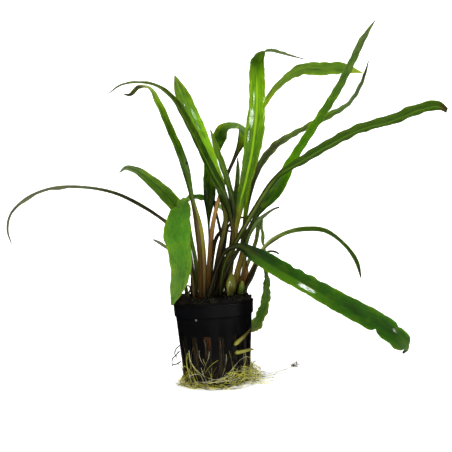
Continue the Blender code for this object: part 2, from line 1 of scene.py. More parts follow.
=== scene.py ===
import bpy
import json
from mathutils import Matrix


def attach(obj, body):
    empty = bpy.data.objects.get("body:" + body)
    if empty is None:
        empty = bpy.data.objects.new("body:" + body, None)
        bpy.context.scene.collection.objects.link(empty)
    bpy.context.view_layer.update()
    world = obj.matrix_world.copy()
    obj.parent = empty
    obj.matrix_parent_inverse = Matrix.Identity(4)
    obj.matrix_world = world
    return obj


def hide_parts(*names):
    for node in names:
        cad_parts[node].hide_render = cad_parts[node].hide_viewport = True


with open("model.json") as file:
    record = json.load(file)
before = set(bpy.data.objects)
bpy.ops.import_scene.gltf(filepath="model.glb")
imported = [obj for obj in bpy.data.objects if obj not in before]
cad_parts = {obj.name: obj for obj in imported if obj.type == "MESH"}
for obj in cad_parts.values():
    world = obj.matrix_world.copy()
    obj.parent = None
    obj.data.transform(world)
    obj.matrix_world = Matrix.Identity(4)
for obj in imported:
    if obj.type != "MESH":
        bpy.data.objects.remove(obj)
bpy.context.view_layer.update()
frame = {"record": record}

# Potted cryptocoryne: strap leaves on channelled stalks, a black net pot packed with dark
# growing wool, and pale roots that leave its slots. Routes and sizes are in millimetres, as in
# the part's source, and mm turns them to metres.
import json
import math

import bpy
import numpy as np
from mathutils import Vector, noise

mm = 0.001


def toLinear(hexColour):
    # sRGB hex to the linear values that a shader reads
    parts = [int(hexColour[at:at + 2], 16) / 255 for at in (1, 3, 5)]
    return (*[p / 12.92 if p <= 0.04045 else ((p + 0.055) / 1.055) ** 2.4 for p in parts], 1.0)


def feed(tree, node, inputs):
    # joins the sockets given to the node's inputs, and sets those that get a plain value
    for name, source in inputs.items():
        if isinstance(source, bpy.types.NodeSocket):
            tree.links.new(source, node.inputs[name])
        else:
            node.inputs[name].default_value = source


def addNode(tree, kind, inputs, out=0, stops=(), **settings):
    # a node with what feeds it, a ramp's stops and its settings; gives back one of its outputs
    node = tree.nodes.new("ShaderNode" + kind)
    for name, value in settings.items():
        setattr(node, name, value)
    feed(tree, node, inputs)
    if stops:
        elements = node.color_ramp.elements
        for element, (at, tone) in ((elements[0], stops[0]), (elements[1], stops[-1])):
            element.position = at
            element.color = toLinear(tone)
        for at, tone in stops[1:-1]:
            elements.new(at).color = toLinear(tone)
    return node.outputs[out]


def startMaterial(name):
    material = bpy.data.materials.new(name)
    material.use_nodes = True
    return material, material.node_tree, material.node_tree.nodes["Principled BSDF"]


def selectOnly(*things):
    # the first becomes the active one; with none, nothing stays selected
    for thing in bpy.context.selected_objects:
        thing.select_set(False)
    for thing in things:
        thing.select_set(True)
        bpy.context.view_layer.objects.active = things[0]


def selectEdges(thing, wanted):
    # goes into edit mode with only the wanted edges selected
    bpy.ops.object.mode_set(mode="EDIT")
    bpy.ops.mesh.select_all(action="DESELECT")
    bpy.ops.object.mode_set(mode="OBJECT")
    for edge in thing.data.edges:
        edge.select = wanted(*[thing.data.vertices[i].co for i in edge.vertices])
    bpy.ops.object.mode_set(mode="EDIT")
    bpy.ops.mesh.select_mode(type="EDGE")


def nameLast(name):
    # names the piece that was just added, and its mesh
    piece = bpy.context.object
    piece.name = piece.data.name = name
    return piece


def finishPiece(piece, material, slot, *nodes):
    # every piece rides on the one body; it takes the place of the CAD nodes given
    if material is not None:
        piece.data.materials.clear()
        piece.data.materials.append(material)
    for face in piece.data.polygons:
        face.use_smooth = True
    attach(piece, "root")
    if nodes:
        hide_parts(*nodes)


# Camera and studio

view = {
    "place": (10.85, -480.0, 105.0),  # mm
    "pitch": -0.61,  # degrees below level
    "roll": -3.0,
    "lens": 58.8,
    "sensor": 36.0,
}


def addCamera():
    lensData = bpy.data.cameras.new("photoCamera")
    lensData.lens = view["lens"]
    lensData.sensor_width = view["sensor"]
    camera = bpy.data.objects.new("photoCamera", lensData)
    bpy.context.scene.collection.objects.link(camera)
    camera.location = Vector(view["place"]) * mm
    camera.rotation_euler = (math.radians(90.0 + view["pitch"]), 0.0, 0.0)
    camera.rotation_euler.rotate_axis("Z", math.radians(view["roll"]))
    bpy.context.scene.camera = camera


studio = {
    "floorWidth": 6.0,  # m
    "backdropAt": 1.6,
    "backdropHeight": 3.0,
    "backdropCurve": 0.7,
    "surroundRadius": 2.8,
    "paper": "#fafafa",
    "worldStrength": 0.06,
    "glow": {"From Min": 0.25, "From Max": 1.0, "To Min": 0.35, "To Max": 0.95},  # by how far off, in m
    "softboxes": {
        # place and size in m, power in W, and whether it washes or only glints
        "keyBox": ((-0.55, -0.7, 0.95), 0.4, 8.0, "wash"),
        "topBox": ((0.1, 0.1, 1.15), 0.7, 10.0, "wash"),
        "rightBox": ((0.9, -0.5, 0.5), 0.5, 0.8, "wash"),
        "highGlint": ((0.14, -0.63, 0.87), 0.1, 1.6, "glint"),
        "leftGlint": ((-0.17, -0.98, 0.24), 0.12, 1.1, "glint"),
        "rightGlint": ((0.47, -0.9, 0.23), 0.12, 1.5, "glint"),
        "sideGlint": ((0.86, -0.51, 0.18), 0.1, 4.0, "glint"),
        "lowGlint": ((0.09, -0.6, 0.02), 0.12, 0.6, "glint"),
    },
    "aim": (0.0, 0.0, 0.11),
}


def addStudio():
    # white paper that runs up behind the plant in one sweep
    white = (1.0, 1.0, 1.0, 1.0)
    selectOnly()
    bpy.ops.mesh.primitive_plane_add(size=studio["floorWidth"])
    sweep = nameLast("paperSweep")
    for vert in sweep.data.vertices:
        if vert.co.y > 0:
            vert.co.y = studio["backdropAt"]
    selectEdges(sweep, lambda a, b: a.y > 0 and b.y > 0)
    bpy.ops.mesh.extrude_region_move(
        TRANSFORM_OT_translate={"value": (0, 0, studio["backdropHeight"])}
    )
    selectEdges(sweep, lambda a, b: a.y > 0 and b.y > 0 and max(a.z, b.z) < 0.01)
    bpy.ops.mesh.bevel(offset=studio["backdropCurve"], segments=16)
    bpy.ops.object.mode_set(mode="OBJECT")
    for face in sweep.data.polygons:
        face.use_smooth = True
    paper, tree, shader = startMaterial("matt white paper")
    place = addNode(tree, "TexCoord", {}, "Object")
    away = addNode(tree, "VectorMath", {0: place}, "Value", operation="LENGTH")
    feed(tree, shader, {
        "Base Color": toLinear(studio["paper"]),
        "Roughness": 0.9,
        "Specular IOR Level": 0.1,
        "Emission Color": white,
        "Emission Strength": addNode(tree, "MapRange", {"Value": away, **studio["glow"]}),
    })
    sweep.data.materials.append(paper)
    sweep.visible_glossy = False  # keeps the white paper's haze off the leaves
    # the same paper all round for the other sides, which gives no light of its own
    tall = 2 * studio["backdropHeight"]
    radius = studio["surroundRadius"]
    bpy.ops.mesh.primitive_cylinder_add(vertices=96, radius=radius, depth=tall, end_fill_type="NOTHING")
    surround = nameLast("paperSurround")
    surround.data.materials.append(paper)
    for use in ("diffuse", "glossy", "transmission", "shadow"):
        setattr(surround, "visible_" + use, False)
    for name, (place, size, power, use) in studio["softboxes"].items():
        lampData = bpy.data.lights.new(name, "AREA")
        lampData.energy = power
        lampData.size = size
        lamp = bpy.data.objects.new(name, lampData)
        bpy.context.scene.collection.objects.link(lamp)
        lamp.location = place
        lamp.visible_glossy = use == "glint"
        lamp.visible_diffuse = lamp.visible_transmission = use == "wash"
        way = Vector(studio["aim"]) - Vector(place)
        lamp.rotation_euler = way.to_track_quat("-Z", "Y").to_euler()
    world = bpy.data.worlds.new("studioWhite")
    world.use_nodes = True
    background = world.node_tree.nodes["Background"]
    feed(world.node_tree, background, {"Color": white, "Strength": studio["worldStrength"]})
    bpy.context.scene.world = world
    world.cycles_visibility.glossy = False
    bpy.context.scene.view_settings.view_transform = "Standard"


addCamera()
addStudio()
print("camera and studio ready")


# Leaves, stalks and shoots

# A route's rows are x, y, z, half the width in mm and the blade's turn in degrees, if it has one.
# Tones are keyed by the row they belong to, from the foot. A rib has its tone, how strong it is and
# the row where it ends, and an edge its tone and strength. Notches, lobes, blots and wet patches
# start with how far along the leaf they are, in mm.
leaves = {}
leaves["leaf_far_left"] = dict(stalkRows=3, outline=0.03, channel=0.05, rib=("#2e3020", 0.5),
    lobes=[(132.5, -1, 5, 0.9), (155, -1, 6, 0.65)], tones={0: "#2e2414", 2: "#5a4630", 4: "#1c1d10",
    5.3: "#34361f", 6: "#5c6048", 11: "#6c6c5c"}, route=[
    (-13.5, 3, 55, 1.5, -40), (-13, 4, 77.5, 1.3, -45), (-17.5, 6, 96, 1.5, -55), (-29, 8, 105, 2.3, -68),
    (-43.5, 10, 115.5, 3.9, -74), (-62, 12, 125.5, 5, -78), (-83, 12, 130.5, 5.2, -77),
    (-104.5, 10, 130.5, 4.8, -73), (-121, 8, 124, 4.2, -66), (-131, 6, 113.5, 3, -60),
    (-132.5, 5, 103.5, 1.8, -52), (-130.5, 5, 95.5, 0.6, -50),
])
# its dark rib is painted shade, the shadow along the midrib
leaves["leaf_left"] = dict(stalkRows=3, wave=0.15, outline=0.03, channel=0.12, rib=("#203a08", 0.5),
    tones={0: "#2f2a10", 2: "#537b2d", 3: "#325210", 5: "#42641c", 6: "#587038", 8: "#6c7060"}, route=[
    (-11, -3, 55, 1.6, -30), (-10, -2, 77.5, 1.4, -30), (-13, 2, 94.5, 1.7, -25), (-18, 8, 109.5, 4.4, -25),
    (-27, 13, 121.5, 5.6, -35), (-39, 18, 133.5, 5.6, -52), (-49, 20, 141, 4.2, -55),
    (-55, 21, 142.5, 2.6, -52), (-59.5, 21, 139.5, 0.5, -48),
])
leaves["leaf_front_left"] = dict(stalkRows=3.2, wave=0.6, spots=0.5, roughness=0.5, rib=("#3f7a10", 0.3),
    tones={0: "#2e1e10", 2: "#4c3018", 2.8: "#54481c", 3.2: "#a0c878", 3.7: "#7ca050", 4.1: "#1e4008",
    4.6: "#24480c", 6: "#5c7c2c", 8: "#3c6a18", 10: "#4a8220", 14: "#587e2c"}, route=[
    (2, 11, 55, 1.6, 0), (6.5, 18, 82.5, 1.6, -10), (9, 23, 97.5, 1.7, -30), (12, 24, 108, 2.9, -60),
    (3.5, 23, 115.5, 3.3, -62), (-6, 14, 119.5, 4, -60), (-13, -2, 118.5, 3.2, -55),
    (-15.5, -14, 116.5, 3.4, -25), (-15.5, -26, 112.5, 5.2, -8), (-17, -37, 106.5, 6.8, 0),
    (-18, -47, 98, 8, 0), (-16.5, -56, 86, 6.6, 0), (-16, -60, 77, 5.9, 0), (-18.5, -62, 67.5, 4.3, 0),
    (-22, -64, 57.5, 0.6, 0),
])
# its split is painted shade: the stalk's left half browner, as on the side away from the light
leaves["leaf_upper_left_inner"] = dict(stalkRows=4, wave=0.15, outline=0.05, split=("#442c0c", 0, 3),
    rib=("#2f4710", 0.4), blots=[(86.5, 1.4, 1.3, "#10140a")], tones={0: "#4a3414", 1: "#7a6424",
    2: "#b0a824", 3: "#4c7410", 5: "#406414", 6: "#90bc28", 7: "#a0b068", 7.7: "#484a2a", 8: "#2e2a18",
    10: "#2a2020"}, route=[
    (-6.5, -10, 55, 2.6, -20), (-5.5, -11, 78, 2.8, -20), (-6.5, -12, 99.5, 2.7, -20),
    (-9.5, -12, 118, 1.5, -25), (-13.5, -17, 141, 3.1, -38), (-21.5, -22, 163.5, 3.8, -55),
    (-27.5, -27, 179, 3.8, -60), (-32.5, -31, 187, 3.2, -70), (-37.5, -33, 186.5, 2.9, -52),
    (-43, -35, 182, 1.6, -45), (-46.5, -35, 182.5, 0.4, -45),
])
leaves["leaf_upper_left_outer"] = dict(stalkRows=4, wave=0.15, outline=0.04, rib=("#6f9a30", 0.45),
    tones={0: "#33240f", 2: "#5a4a20", 3: "#30420c", 5: "#244400", 7: "#384814", 9: "#4c5830",
    11: "#484a34"}, route=[
    (3, -2, 55, 1.6, -10), (12.5, -3, 80, 1.5, -15), (15, -5, 93.5, 1.4, -20), (13.5, -8, 107.5, 1.5, -30),
    (9, -13, 122.5, 3.7, -45), (0, -18, 143.5, 4.7, -55), (-9.5, -25, 165, 4.9, -62),
    (-18.5, -32, 180.5, 4.8, -70), (-26, -37, 186.5, 4.2, -77), (-35.5, -43, 188, 3.4, -75),
    (-46.5, -47, 186, 2.4, -70), (-53.5, -49, 181, 0.6, -65),
])
leaves["leaf_upper_left_bright"] = dict(stalkRows=3, wave=0.2, mottle=0.3, patchy=0.35, roughness=0.5,
    bump=0.1, rib=("#7dba18", 0.3), wet=[(128, 0.2, 3.6, 1.7), (121, 1.9, 5, 1), (113.5, 0.8, 4, 0.8)],
    tones={0: "#33260f", 1: "#44340f", 2: "#686828", 3: "#3e4800", 4: "#7cb400", 5: "#84c000", 6: "#5a8e00",
    7: "#587c0c", 8: "#687420"}, route=[
    (-1, -5, 55, 1.8, 0), (6, -4, 84.5, 1.8, 0), (11, -5, 105.5, 1.7, -10), (9.5, -6, 121, 3, -20),
    (4, -8, 139, 4.3, -20), (-2.5, -11, 158, 5, -15), (-9, -15, 174.5, 5.2, -15),
    (-13.5, -19, 186.5, 4, -15), (-16, -21.5, 195, 0.4, -15),
])
leaves["leaf_short_pointed"] = dict(stalkRows=3, wave=0.2, rib=("#7fb02c", 0.4), tones={0: "#3a3012",
    1: "#2c4420", 2: "#1c2c04", 3: "#38481c", 4: "#587428", 5: "#64882c", 6: "#48542a"}, route=[
    (8.5, 6, 55, 1.5, -20), (12.5, 5, 80, 1.3, -20), (16, 5, 102, 1.4, -25), (15.5, 6, 118, 2.4, -40),
    (11.5, 5, 136, 3.2, -50), (7, 3, 151, 2.9, -48), (4, 0, 163, 0.4, -40),
])
leaves["leaf_back_arching"] = dict(stalkRows=6, wave=0.3, rib=("#2c4812", 0.3), tones={0: "#4a3214",
    2: "#a47638", 3: "#cc9a58", 3.5: "#8c643a", 3.8: "#241a0c", 5: "#24240f", 6: "#527606", 7: "#638149",
    8: "#4f6e28", 9: "#24420f", 11: "#1c3808"}, route=[
    (-3.5, 2, 55, 2, 0), (-1, 1, 77, 1.8, 0), (1, 1, 94, 1.6, 0), (5.5, 3, 113, 1.3, 10),
    (12.5, 8, 131.5, 1.2, 10), (20, 15, 147, 1.4, 0), (25.5, 25, 159.5, 3.6, -20),
    (25, 34, 166.5, 4.6, -60), (16, 40, 168.5, 5.5, -46), (11.5, 43, 165, 6.3, -32),
    (8.5, 44, 158, 4.4, -24), (7.5, 44, 149, 0.8, -24),
])
leaves["leaf_centre_bright"] = dict(stalkRows=3, wave=0.18, outline=0.07, edgeStep=1.5, ringGap=0.9,
    veined=0.5, roughness=0.5, bump=0.1, rib=("#a2cf10", 0.6, 8), wet=[(116.5, -2.8, 7.5, 1.9),
    (117, 5.3, 11, 0.9), (131, 4.2, 9, 0.7), (133, -2, 10, 0.5), (104, -3.7, 5, 0.8)], tones={0: "#4a3c14",
    1: "#5c4c18", 2: "#8a8420", 2.7: "#84980c", 3: "#4a7400", 4: "#4a7200", 5: "#4a7a00", 6: "#5a8a00",
    7: "#70a400", 8: "#6a9c00", 9: "#284c00", 10: "#36500a", 11: "#627648", 13: "#66685c", 14: "#3a3234"},
    route=[
    (9.5, -2.5, 55, 1.9, 0), (13.5, 0, 79, 1.8, 0), (17.5, 0.5, 98.5, 1.6, 0), (21, -2, 114.5, 2.8, 0),
    (25.5, -6, 130, 3.9, 0), (29.5, -8, 145, 5.2, 0), (32.5, -8, 160.5, 6.2, 0), (34.5, -8, 175.5, 5.3, 0),
    (35.5, -8, 192, 5.2, 5), (36.5, -6, 204, 4.8, 25), (39.5, 3, 211.5, 4.4, 55), (46, 17, 216, 3.8, 75),
    (55, 31, 217, 3, 85), (64.5, 42, 216.5, 1.8, 85), (74, 52, 216, 0.4, 85),
])
leaves["leaf_back_right_flat"] = dict(stalkRows=4, wave=0.45, outline=0.06, rib=("#7fa320", 0.25),
    tones={0: "#6a5a20", 1: "#86702a", 2: "#665c1c", 3: "#2c4010", 4: "#98cc00", 5: "#94c000", 6: "#8caa08",
    7: "#6c8c2c", 8: "#587c20", 10: "#547a20", 11: "#a8b63a"}, route=[
    (13, 2, 55, 2.6, 20), (17, 1, 70, 2.1, 20), (21, 3, 83.5, 1.7, 20), (23.5, 8, 102, 1.5, 25),
    (27, 14, 126.5, 2, 35), (32, 22, 153.5, 1.7, 30), (42, 31, 182.5, 1.8, 10), (54, 39, 197.5, 2.7, -35),
    (70.5, 48, 208.5, 5.4, -52), (86.5, 55, 209.5, 5.9, -49), (101.5, 60, 210, 5, -50),
    (117.5, 65, 206.5, 0.4, -55),
])
leaves["leaf_back_right_dark"] = dict(stalkRows=4, wave=0.35, outline=0.08, rib=("#2c3418", 0.5),
    edge=("#4a3a3c", 0.4), tones={0: "#a06a2c", 1: "#d09454", 1.5: "#7c5420", 2: "#405a1c", 3: "#243c0c",
    4: "#4c5634", 5: "#444a30", 6: "#5c7432", 7: "#4a6a20", 8: "#627850", 10: "#3c3c2c"}, route=[
    (20.5, 8, 55, 1.5, 30), (22.5, 9, 68.5, 1.8, 30), (21, 12, 83, 1.5, 30), (25, 18, 108.5, 1.4, 35),
    (32.5, 26, 133, 2.8, 45), (48.5, 37, 153.5, 4.8, 55), (69.5, 49, 165.5, 4.4, 60), (91, 59, 176, 4, 50),
    (107.5, 68, 186, 2.4, 50), (118, 74, 201, 2, 50), (125, 79, 218, 0.4, 50),
])
leaves["leaf_thin_upright"] = dict(stalkRows=3, rib=("#1f2a0c", 0.4), tones={0: "#3a3014", 1: "#24281c",
    2: "#20200e", 3: "#304c0c", 5: "#5a7434"}, route=[
    (5.5, 12, 55, 1.3, -40), (12, 13, 80.5, 1.2, -40), (15.5, 13, 102, 1.2, -45),
    (18.5, 13, 121.5, 2.2, -50), (20.5, 13, 135.5, 2.2, -50), (21, 13, 145, 0.4, -50),
])
leaves["leaf_tall_right"] = dict(stalkRows=3, wave=0.3, outline=0.06, edgeStep=2.4, rib=("#5c8414", 0.15),
    tones={0: "#2a2410", 1: "#20280c", 2: "#1c2a08", 3: "#1c280c", 3.6: "#1e3c0c", 4: "#264808",
    5: "#447a08", 6: "#3e6a0c", 7: "#3c5c1c", 8: "#46622c", 10: "#50523a"}, route=[
    (1.5, -9, 55, 1.9, 10), (11, -11, 73.5, 1.3, 10), (21, -10, 89.5, 1.3, 15), (29.5, -7, 104, 1.3, 15),
    (44.5, -3, 121.5, 4.7, 20), (55.5, 3, 139, 4.3, 45), (72, 12, 161.5, 4.6, 55), (89.5, 21, 185, 4.2, 52),
    (103.5, 30, 207.5, 3.5, 50), (113, 37, 224.5, 2.8, 40), (123.5, 43, 239, 0.4, 40),
])
# its split is painted shade: the stalk's left half near black, as on the side in shadow
leaves["leaf_long_right"] = dict(stalkRows=4, wave=0.35, outline=0.06, edgeStep=2.4, veined=0.5,
    mottle=0.04, patchy=0.12, split=("#1c1606", 0, 0), rib=("#5c8420", 0.5), edge=("#1a260a", 0.7),
    notches=[(144.5, 1, 3, 0.2), (160, 1, 3.5, 0.25)], lobes=[(161, -1, 4, 0.2)], tones={0: "#3a3a14",
    1: "#4a5c20", 2: "#4c5820", 3: "#6a7c34", 3.6: "#5c7c24", 4: "#30480f", 5: "#30481a", 7: "#365014",
    9.9: "#34520f", 10.3: "#402a18", 11: "#3a221a"}, route=[
    (4, -10.5, 55, 1.5, 20), (8.5, -14, 76, 1.5, 25), (18, -15, 92, 1.7, 35), (30.5, -14, 111, 1.9, 40),
    (44.5, -13, 129, 2.3, 45), (63.5, -14, 140, 4.6, 50), (79, -16, 148, 5.6, 56),
    (97.5, -18, 156, 6.3, 58), (116.5, -20, 160, 6.6, 58), (137, -22, 166.5, 6.4, 55),
    (146.5, -23, 167, 5.6, 50), (151, -23, 164, 3, 46),
])
# its lighter lower half near the foot is painted light
leaves["leaf_front_right"] = dict(stalkRows=4, wave=0.22, outline=0.05, edgeStep=1.8, ringGap=0.9,
    veined=0.45, mottle=0.06, patchy=0.3, roughness=0.5, bump=0.07, paintedLitHalf=(0.25, 6.6),
    rib=("#1a3400", 0.35, 6.5), notches=[(139.5, 1, 1.9, 0.4), (148.5, -1, 1.4, 0.2), (80, -1, 3, 0.2),
    (88, -1, 3, 0.18), (97, -1, 3.5, 0.15)], wet=[(92, 2.3, 7.5, 1.9), (149, -2.3, 2, 1.2)],
    tones={0: "#1c140c", 2: "#14160c", 3: "#24361c", 4: "#143604", 5: "#1a4600", 6: "#245400", 7: "#205000",
    10: "#1e4a00", 11: "#3a5c24", 12: "#4a6c3c", 13: "#1e1a18"}, route=[
    (-3, -14.5, 55, 1.6, 0), (4, -17, 74, 1.3, 0), (10, -21, 84.5, 1.5, 5), (17.5, -25, 87.5, 1.8, 10),
    (27.5, -29, 82, 4.6, 12), (42, -34, 72.5, 5.6, 12), (58, -40, 63, 5.9, 12), (73.5, -46, 53, 6, 12),
    (85.5, -50.5, 46, 6.2, 12), (97.5, -55, 38.5, 6.3, 12), (104.5, -58, 32.5, 6, 12),
    (108.5, -60, 27, 4.6, 12), (109.5, -60.5, 25, 1.6, 12), (107.5, -60.5, 23, 0.7, 12),
])
leaves["leaf_right_arching"] = dict(stalkRows=4, rib=("#46542c", 0.4), tones={0: "#1c0f08", 1: "#2c1a14",
    2: "#4e4634", 3: "#a0b068", 4: "#809444", 5: "#4c6c18", 6: "#3e5a14", 8: "#33481a", 9: "#201c08"},
    route=[
    (20, 2.5, 55, 1.5, 40), (24.5, 3, 66.5, 1.4, 40), (29, 5, 74.5, 1.4, 40), (35, 8, 84, 1.4, 50),
    (45.5, 12, 91, 2.4, 62), (62.5, 17, 94.5, 4.2, 68), (78, 22, 92.5, 4.6, 68), (91, 26, 82.5, 3.8, 66),
    (99.5, 28.5, 69.5, 3.4, 56), (102, 29, 59, 0.7, 50),
])
leaves["leaf_drooping_right"] = dict(stalkRows=3, wave=0.5, outline=0.3, edgeStep=1.7, ringGap=0.9,
    rib=("#55782c", 0.4), tones={0: "#4f3f1a", 1: "#7e7c44", 2: "#6c8038", 4: "#607838", 5: "#2a4408",
    7: "#3a6010", 8: "#385c10", 9: "#5c6c34", 10: "#70683f"}, route=[
    (16, 12.5, 55, 1.4, 0), (23.5, 18, 72, 1.3, 0), (31, 25, 89, 1.4, 10), (34.5, 30, 103.5, 1.6, 20),
    (36, 34, 88, 1.7, 50), (37, 35, 69, 1.7, 40), (37, 35, 57, 2.9, 30), (35, 34, 44.5, 4, 30),
    (31, 33, 35, 4.4, 30), (26, 32, 28, 4.4, 30), (24, 32, 25.5, 2, 30),
])
leaves["leaf_dark_back"] = dict(stalkRows=3, wave=0.2, rib=("#1c2c08", 0.5), tones={0: "#4a3a18",
    1: "#7c643a", 1.7: "#4c4c20", 2: "#20400c", 3: "#142e04", 4: "#386004", 5: "#5c8418", 6: "#465428"},
    route=[
    (-5, 8, 55, 1.6, 0), (-1, 11.5, 79, 1.4, 0), (-0.5, 11.5, 103, 0.9, -5), (1, 9.5, 121, 4.2, -20),
    (2, 11, 141, 4.4, -30), (2, 13, 153.5, 2.6, -30), (1.5, 14, 162, 0.4, -30),
])
# its split is painted light: the shoot's left rim paler, as on the side the light falls on
leaves["shoot_pale"] = dict(bump=0.06, split=("#aaae4c", -1.3, 0), wet=[(7.5, -0.8, 2.6, 0.9)],
    tones={0: "#4c4a18", 1: "#6c681c", 2: "#706e20", 4: "#808834"}, route=[
    (11.5, -8.5, 55, 2.2), (11.5, -8.5, 57.5, 2.2), (12, -8.5, 60.5, 3.4), (12.5, -8.5, 64.5, 3.1),
    (13, -8, 70, 0.5),
])
leaves["shoot_green"] = dict(tones={0: "#4c5c0c", 2: "#6a8c14", 3: "#8c9848"}, route=[
    (18, -4, 55, 2), (18, -4, 57.5, 2), (18.5, -4, 59.5, 2.3), (19.5, -4, 64, 0.6),
])
leaves["stalk_bare_right"] = dict(tones={0: "#a06c28", 2: "#8c6c28", 3: "#4c6828", 5: "#587830",
    6: "#6a7452", 8: "#3c3c3a"}, route=[
    (17, 6.5, 55, 1.3), (17, 6.5, 57.5, 1.3), (20.5, 5, 69, 1.2), (22.5, 5, 81, 1.3), (25, 6, 92.5, 1.6),
    (31.5, 8, 101.5, 1.7), (37.5, 10, 106, 1.1), (43.5, 11, 109.5, 0.7), (47, 12, 110.5, 0.6),
])
leaves["stalk_bare_low"] = dict(tones={0: "#1c140a", 3: "#1e280c", 5: "#384828", 7: "#34322c"}, route=[
    (21.3, -3.5, 55, 1.1), (21.3, -3.5, 57.5, 1.1), (26, -2, 66, 1), (30.5, 2, 74.5, 0.9), (35, 6, 80, 0.8),
    (39, 9, 81.5, 0.8), (42.5, 10, 81, 0.7), (45, 11, 79.5, 0.6),
])
leaves["stub_left"] = dict(tones={0: "#2c2a10", 2: "#3c4a1c", 3: "#20180c"}, route=[
    (-17, -2, 55, 1.2), (-17, -2, 57.5, 1.2), (-17, -3, 60, 1.2), (-18, -4, 64, 1),
])
leaves["curl_left"] = dict(tones={0: "#38362a", 4: "#3c3a2c"}, route=[
    (-15.5, -6.5, 55, 0.6), (-15.5, -6.5, 57.5, 0.6), (-14, -7, 61, 0.6), (-15, -8, 63, 0.5),
    (-16.5, -8.5, 63, 0.4),
])
leaves["thin_leaf_left"] = dict(tones={0: "#33240f", 2: "#4c4020", 3: "#5c6c34", 5: "#5a6e38",
    7: "#6f706a"}, route=[
    (-12, -9, 55, 1), (-12, -9, 57.5, 1), (-12.5, -10, 69.5, 0.9), (-15.5, -13, 78, 0.9),
    (-21.5, -16, 85, 0.9), (-27.5, -18, 89, 1), (-31.5, -19, 92, 0.9), (-35, -19, 94, 0.5),
])
leaves["small_arch_middle"] = dict(tones={0: "#33240f", 3: "#3c3220", 4: "#1a180f", 7: "#30281a"}, route=[
    (-0.5, 6.5, 55, 1.2), (-0.5, 6.5, 57.5, 1.2), (0, 7, 74, 1.2), (1.5, 8, 83, 1.3), (3.5, 10, 91, 1.3),
    (6.5, 13, 95.5, 1.1), (10.5, 17, 96.5, 0.9), (15, 20, 95.5, 0.5),
])
leaves["small_arch_back"] = dict(tones={0: "#24200a", 5: "#262408", 8: "#40440c"}, route=[
    (6, 16.5, 55, 1.1), (6, 16.5, 57.5, 1.1), (7, 19, 72.5, 1.1), (9.5, 24, 88, 1.1), (13, 28, 100, 0.9),
    (19.5, 32, 104.5, 0.7), (24.5, 35, 104.5, 0.7), (29, 37, 101, 0.6), (30.5, 38, 96.5, 0.4),
])
leaves["stalk_dark_crossing"] = dict(tones={0: "#2a1c0e", 3: "#241c0c", 8: "#141208"}, route=[
    (1, 7, 55, 1.2), (1, 7, 57.5, 1.2), (7, 7, 79, 1.2), (7.5, 7, 87.5, 1.1), (7, 7, 96, 1),
    (6, 7, 102.5, 0.9), (5, 8, 108.5, 0.8), (4, 10, 114, 0.8), (3.5, 12, 121, 0.7), (2.5, 12.5, 128.5, 0.5),
])
leaves["runner_tip_upper"] = dict(rooted=False, grooved=0, shine=0.4, tones={0: "#a8a430", 1: "#b4b03c",
    2.4: "#84802c", 3.2: "#5c5424", 5: "#2c2410"}, route=[
    (12.3, -21.6, 25.9, 0.8), (13.4, -21, 26.8, 1.4), (15.8, -19.7, 28.5, 1.4), (18.8, -17.2, 30.6, 1.15),
    (22.2, -12.6, 33.2, 0.7), (23.4, -10.6, 34.6, 0.4),
])
leaves["runner_tip_lower"] = dict(rooted=False, grooved=0, shine=0.4, tones={0: "#a09a30", 1: "#c4c050",
    4: "#a8a44c", 5: "#6b4f20"}, route=[
    (12.4, -21.2, 20.9, 0.7), (13.2, -20.7, 21, 1.2), (15, -19.5, 21, 1.3), (18.6, -16.1, 21, 1.1),
    (22.3, -10.4, 20.6, 0.9), (24.2, -6.2, 19.8, 0.5),
])


growth = {
    "sides": 24, "ringGap": 1.4, "bendCare": 10.0,  # rings stand closer together where a leaf bends
    "thinnest": 0.18, "laminaHalf": 0.17,  # half of a blade's thickness
    "ribDepth": 0.42, "ribWidth": 0.85, "ribFade": 25.0,
    "grooveDepth": 0.16, "channel": 0.24, "outline": 0.07, "edgeStep": 3.0,
    "waveLength": 11.0, "waveFade": 20.0,  # how far before the tip the waves begin to die out
    "stalkFlatness": 0.8, "stalkGroove": 0.34, "grooveHalf": 0.42, "stalkLumps": 0.03,
    "rootedDepth": 1.5,  # how far a stalk goes down into the wool
}
skin = {
    # turns per mm across and along the leaf, and detail; the veins are fibres about 0.4 mm apart
    "veins": (2.6, 0.1, 3.0), "blotches": (0.22, 0.11, 2.0), "spots": (0.55, 0.45, 1.0),
    "ridges": (1.5, 0.16, 2.0), "dimples": (0.5, 0.5, 2.0),
    "ior": 1.43,  # leaf cuticle wax
    "filmIor": 1.4, "filmRoughness": 0.12,  # hard tap water as it dries
    "glow": 0.3, "glowReach": (0.9, 1.0, 0.2),  # how much light the tissue lets through
    # tones laid over every leaf's own, and the most of each where a leaf doesn't say
    "veinTone": "#1a2600", "veined": 0.3, "mottleTone": "#86a400", "mottle": 0.16,
    "patchTone": "#1c2800", "patchy": 0.22, "spotTone": "#2f5504", "paintedLitTone": "#5f9a00",
    "edge": ("#2f4208", 0.25), "underside": ("#6f8e20", 0.22),
    "stalkEdge": ("#5a4a30", 0.75), "stalkMiddle": ("#5c4510", 0.25), "splitShare": 0.85,
    "roughness": 0.3, "shine": 0.15, "bump": 0.25,  # the last is in mm
}


def wobble(length, seed):
    # a smooth uneven wave between about -1 and 1
    waves = ((0.5, 1.0, 1.0), (0.3, 2.3, 1.7), (0.2, 4.1, 2.9))
    return sum(size * np.sin(rate * length + shift * seed) for size, rate, shift in waves)


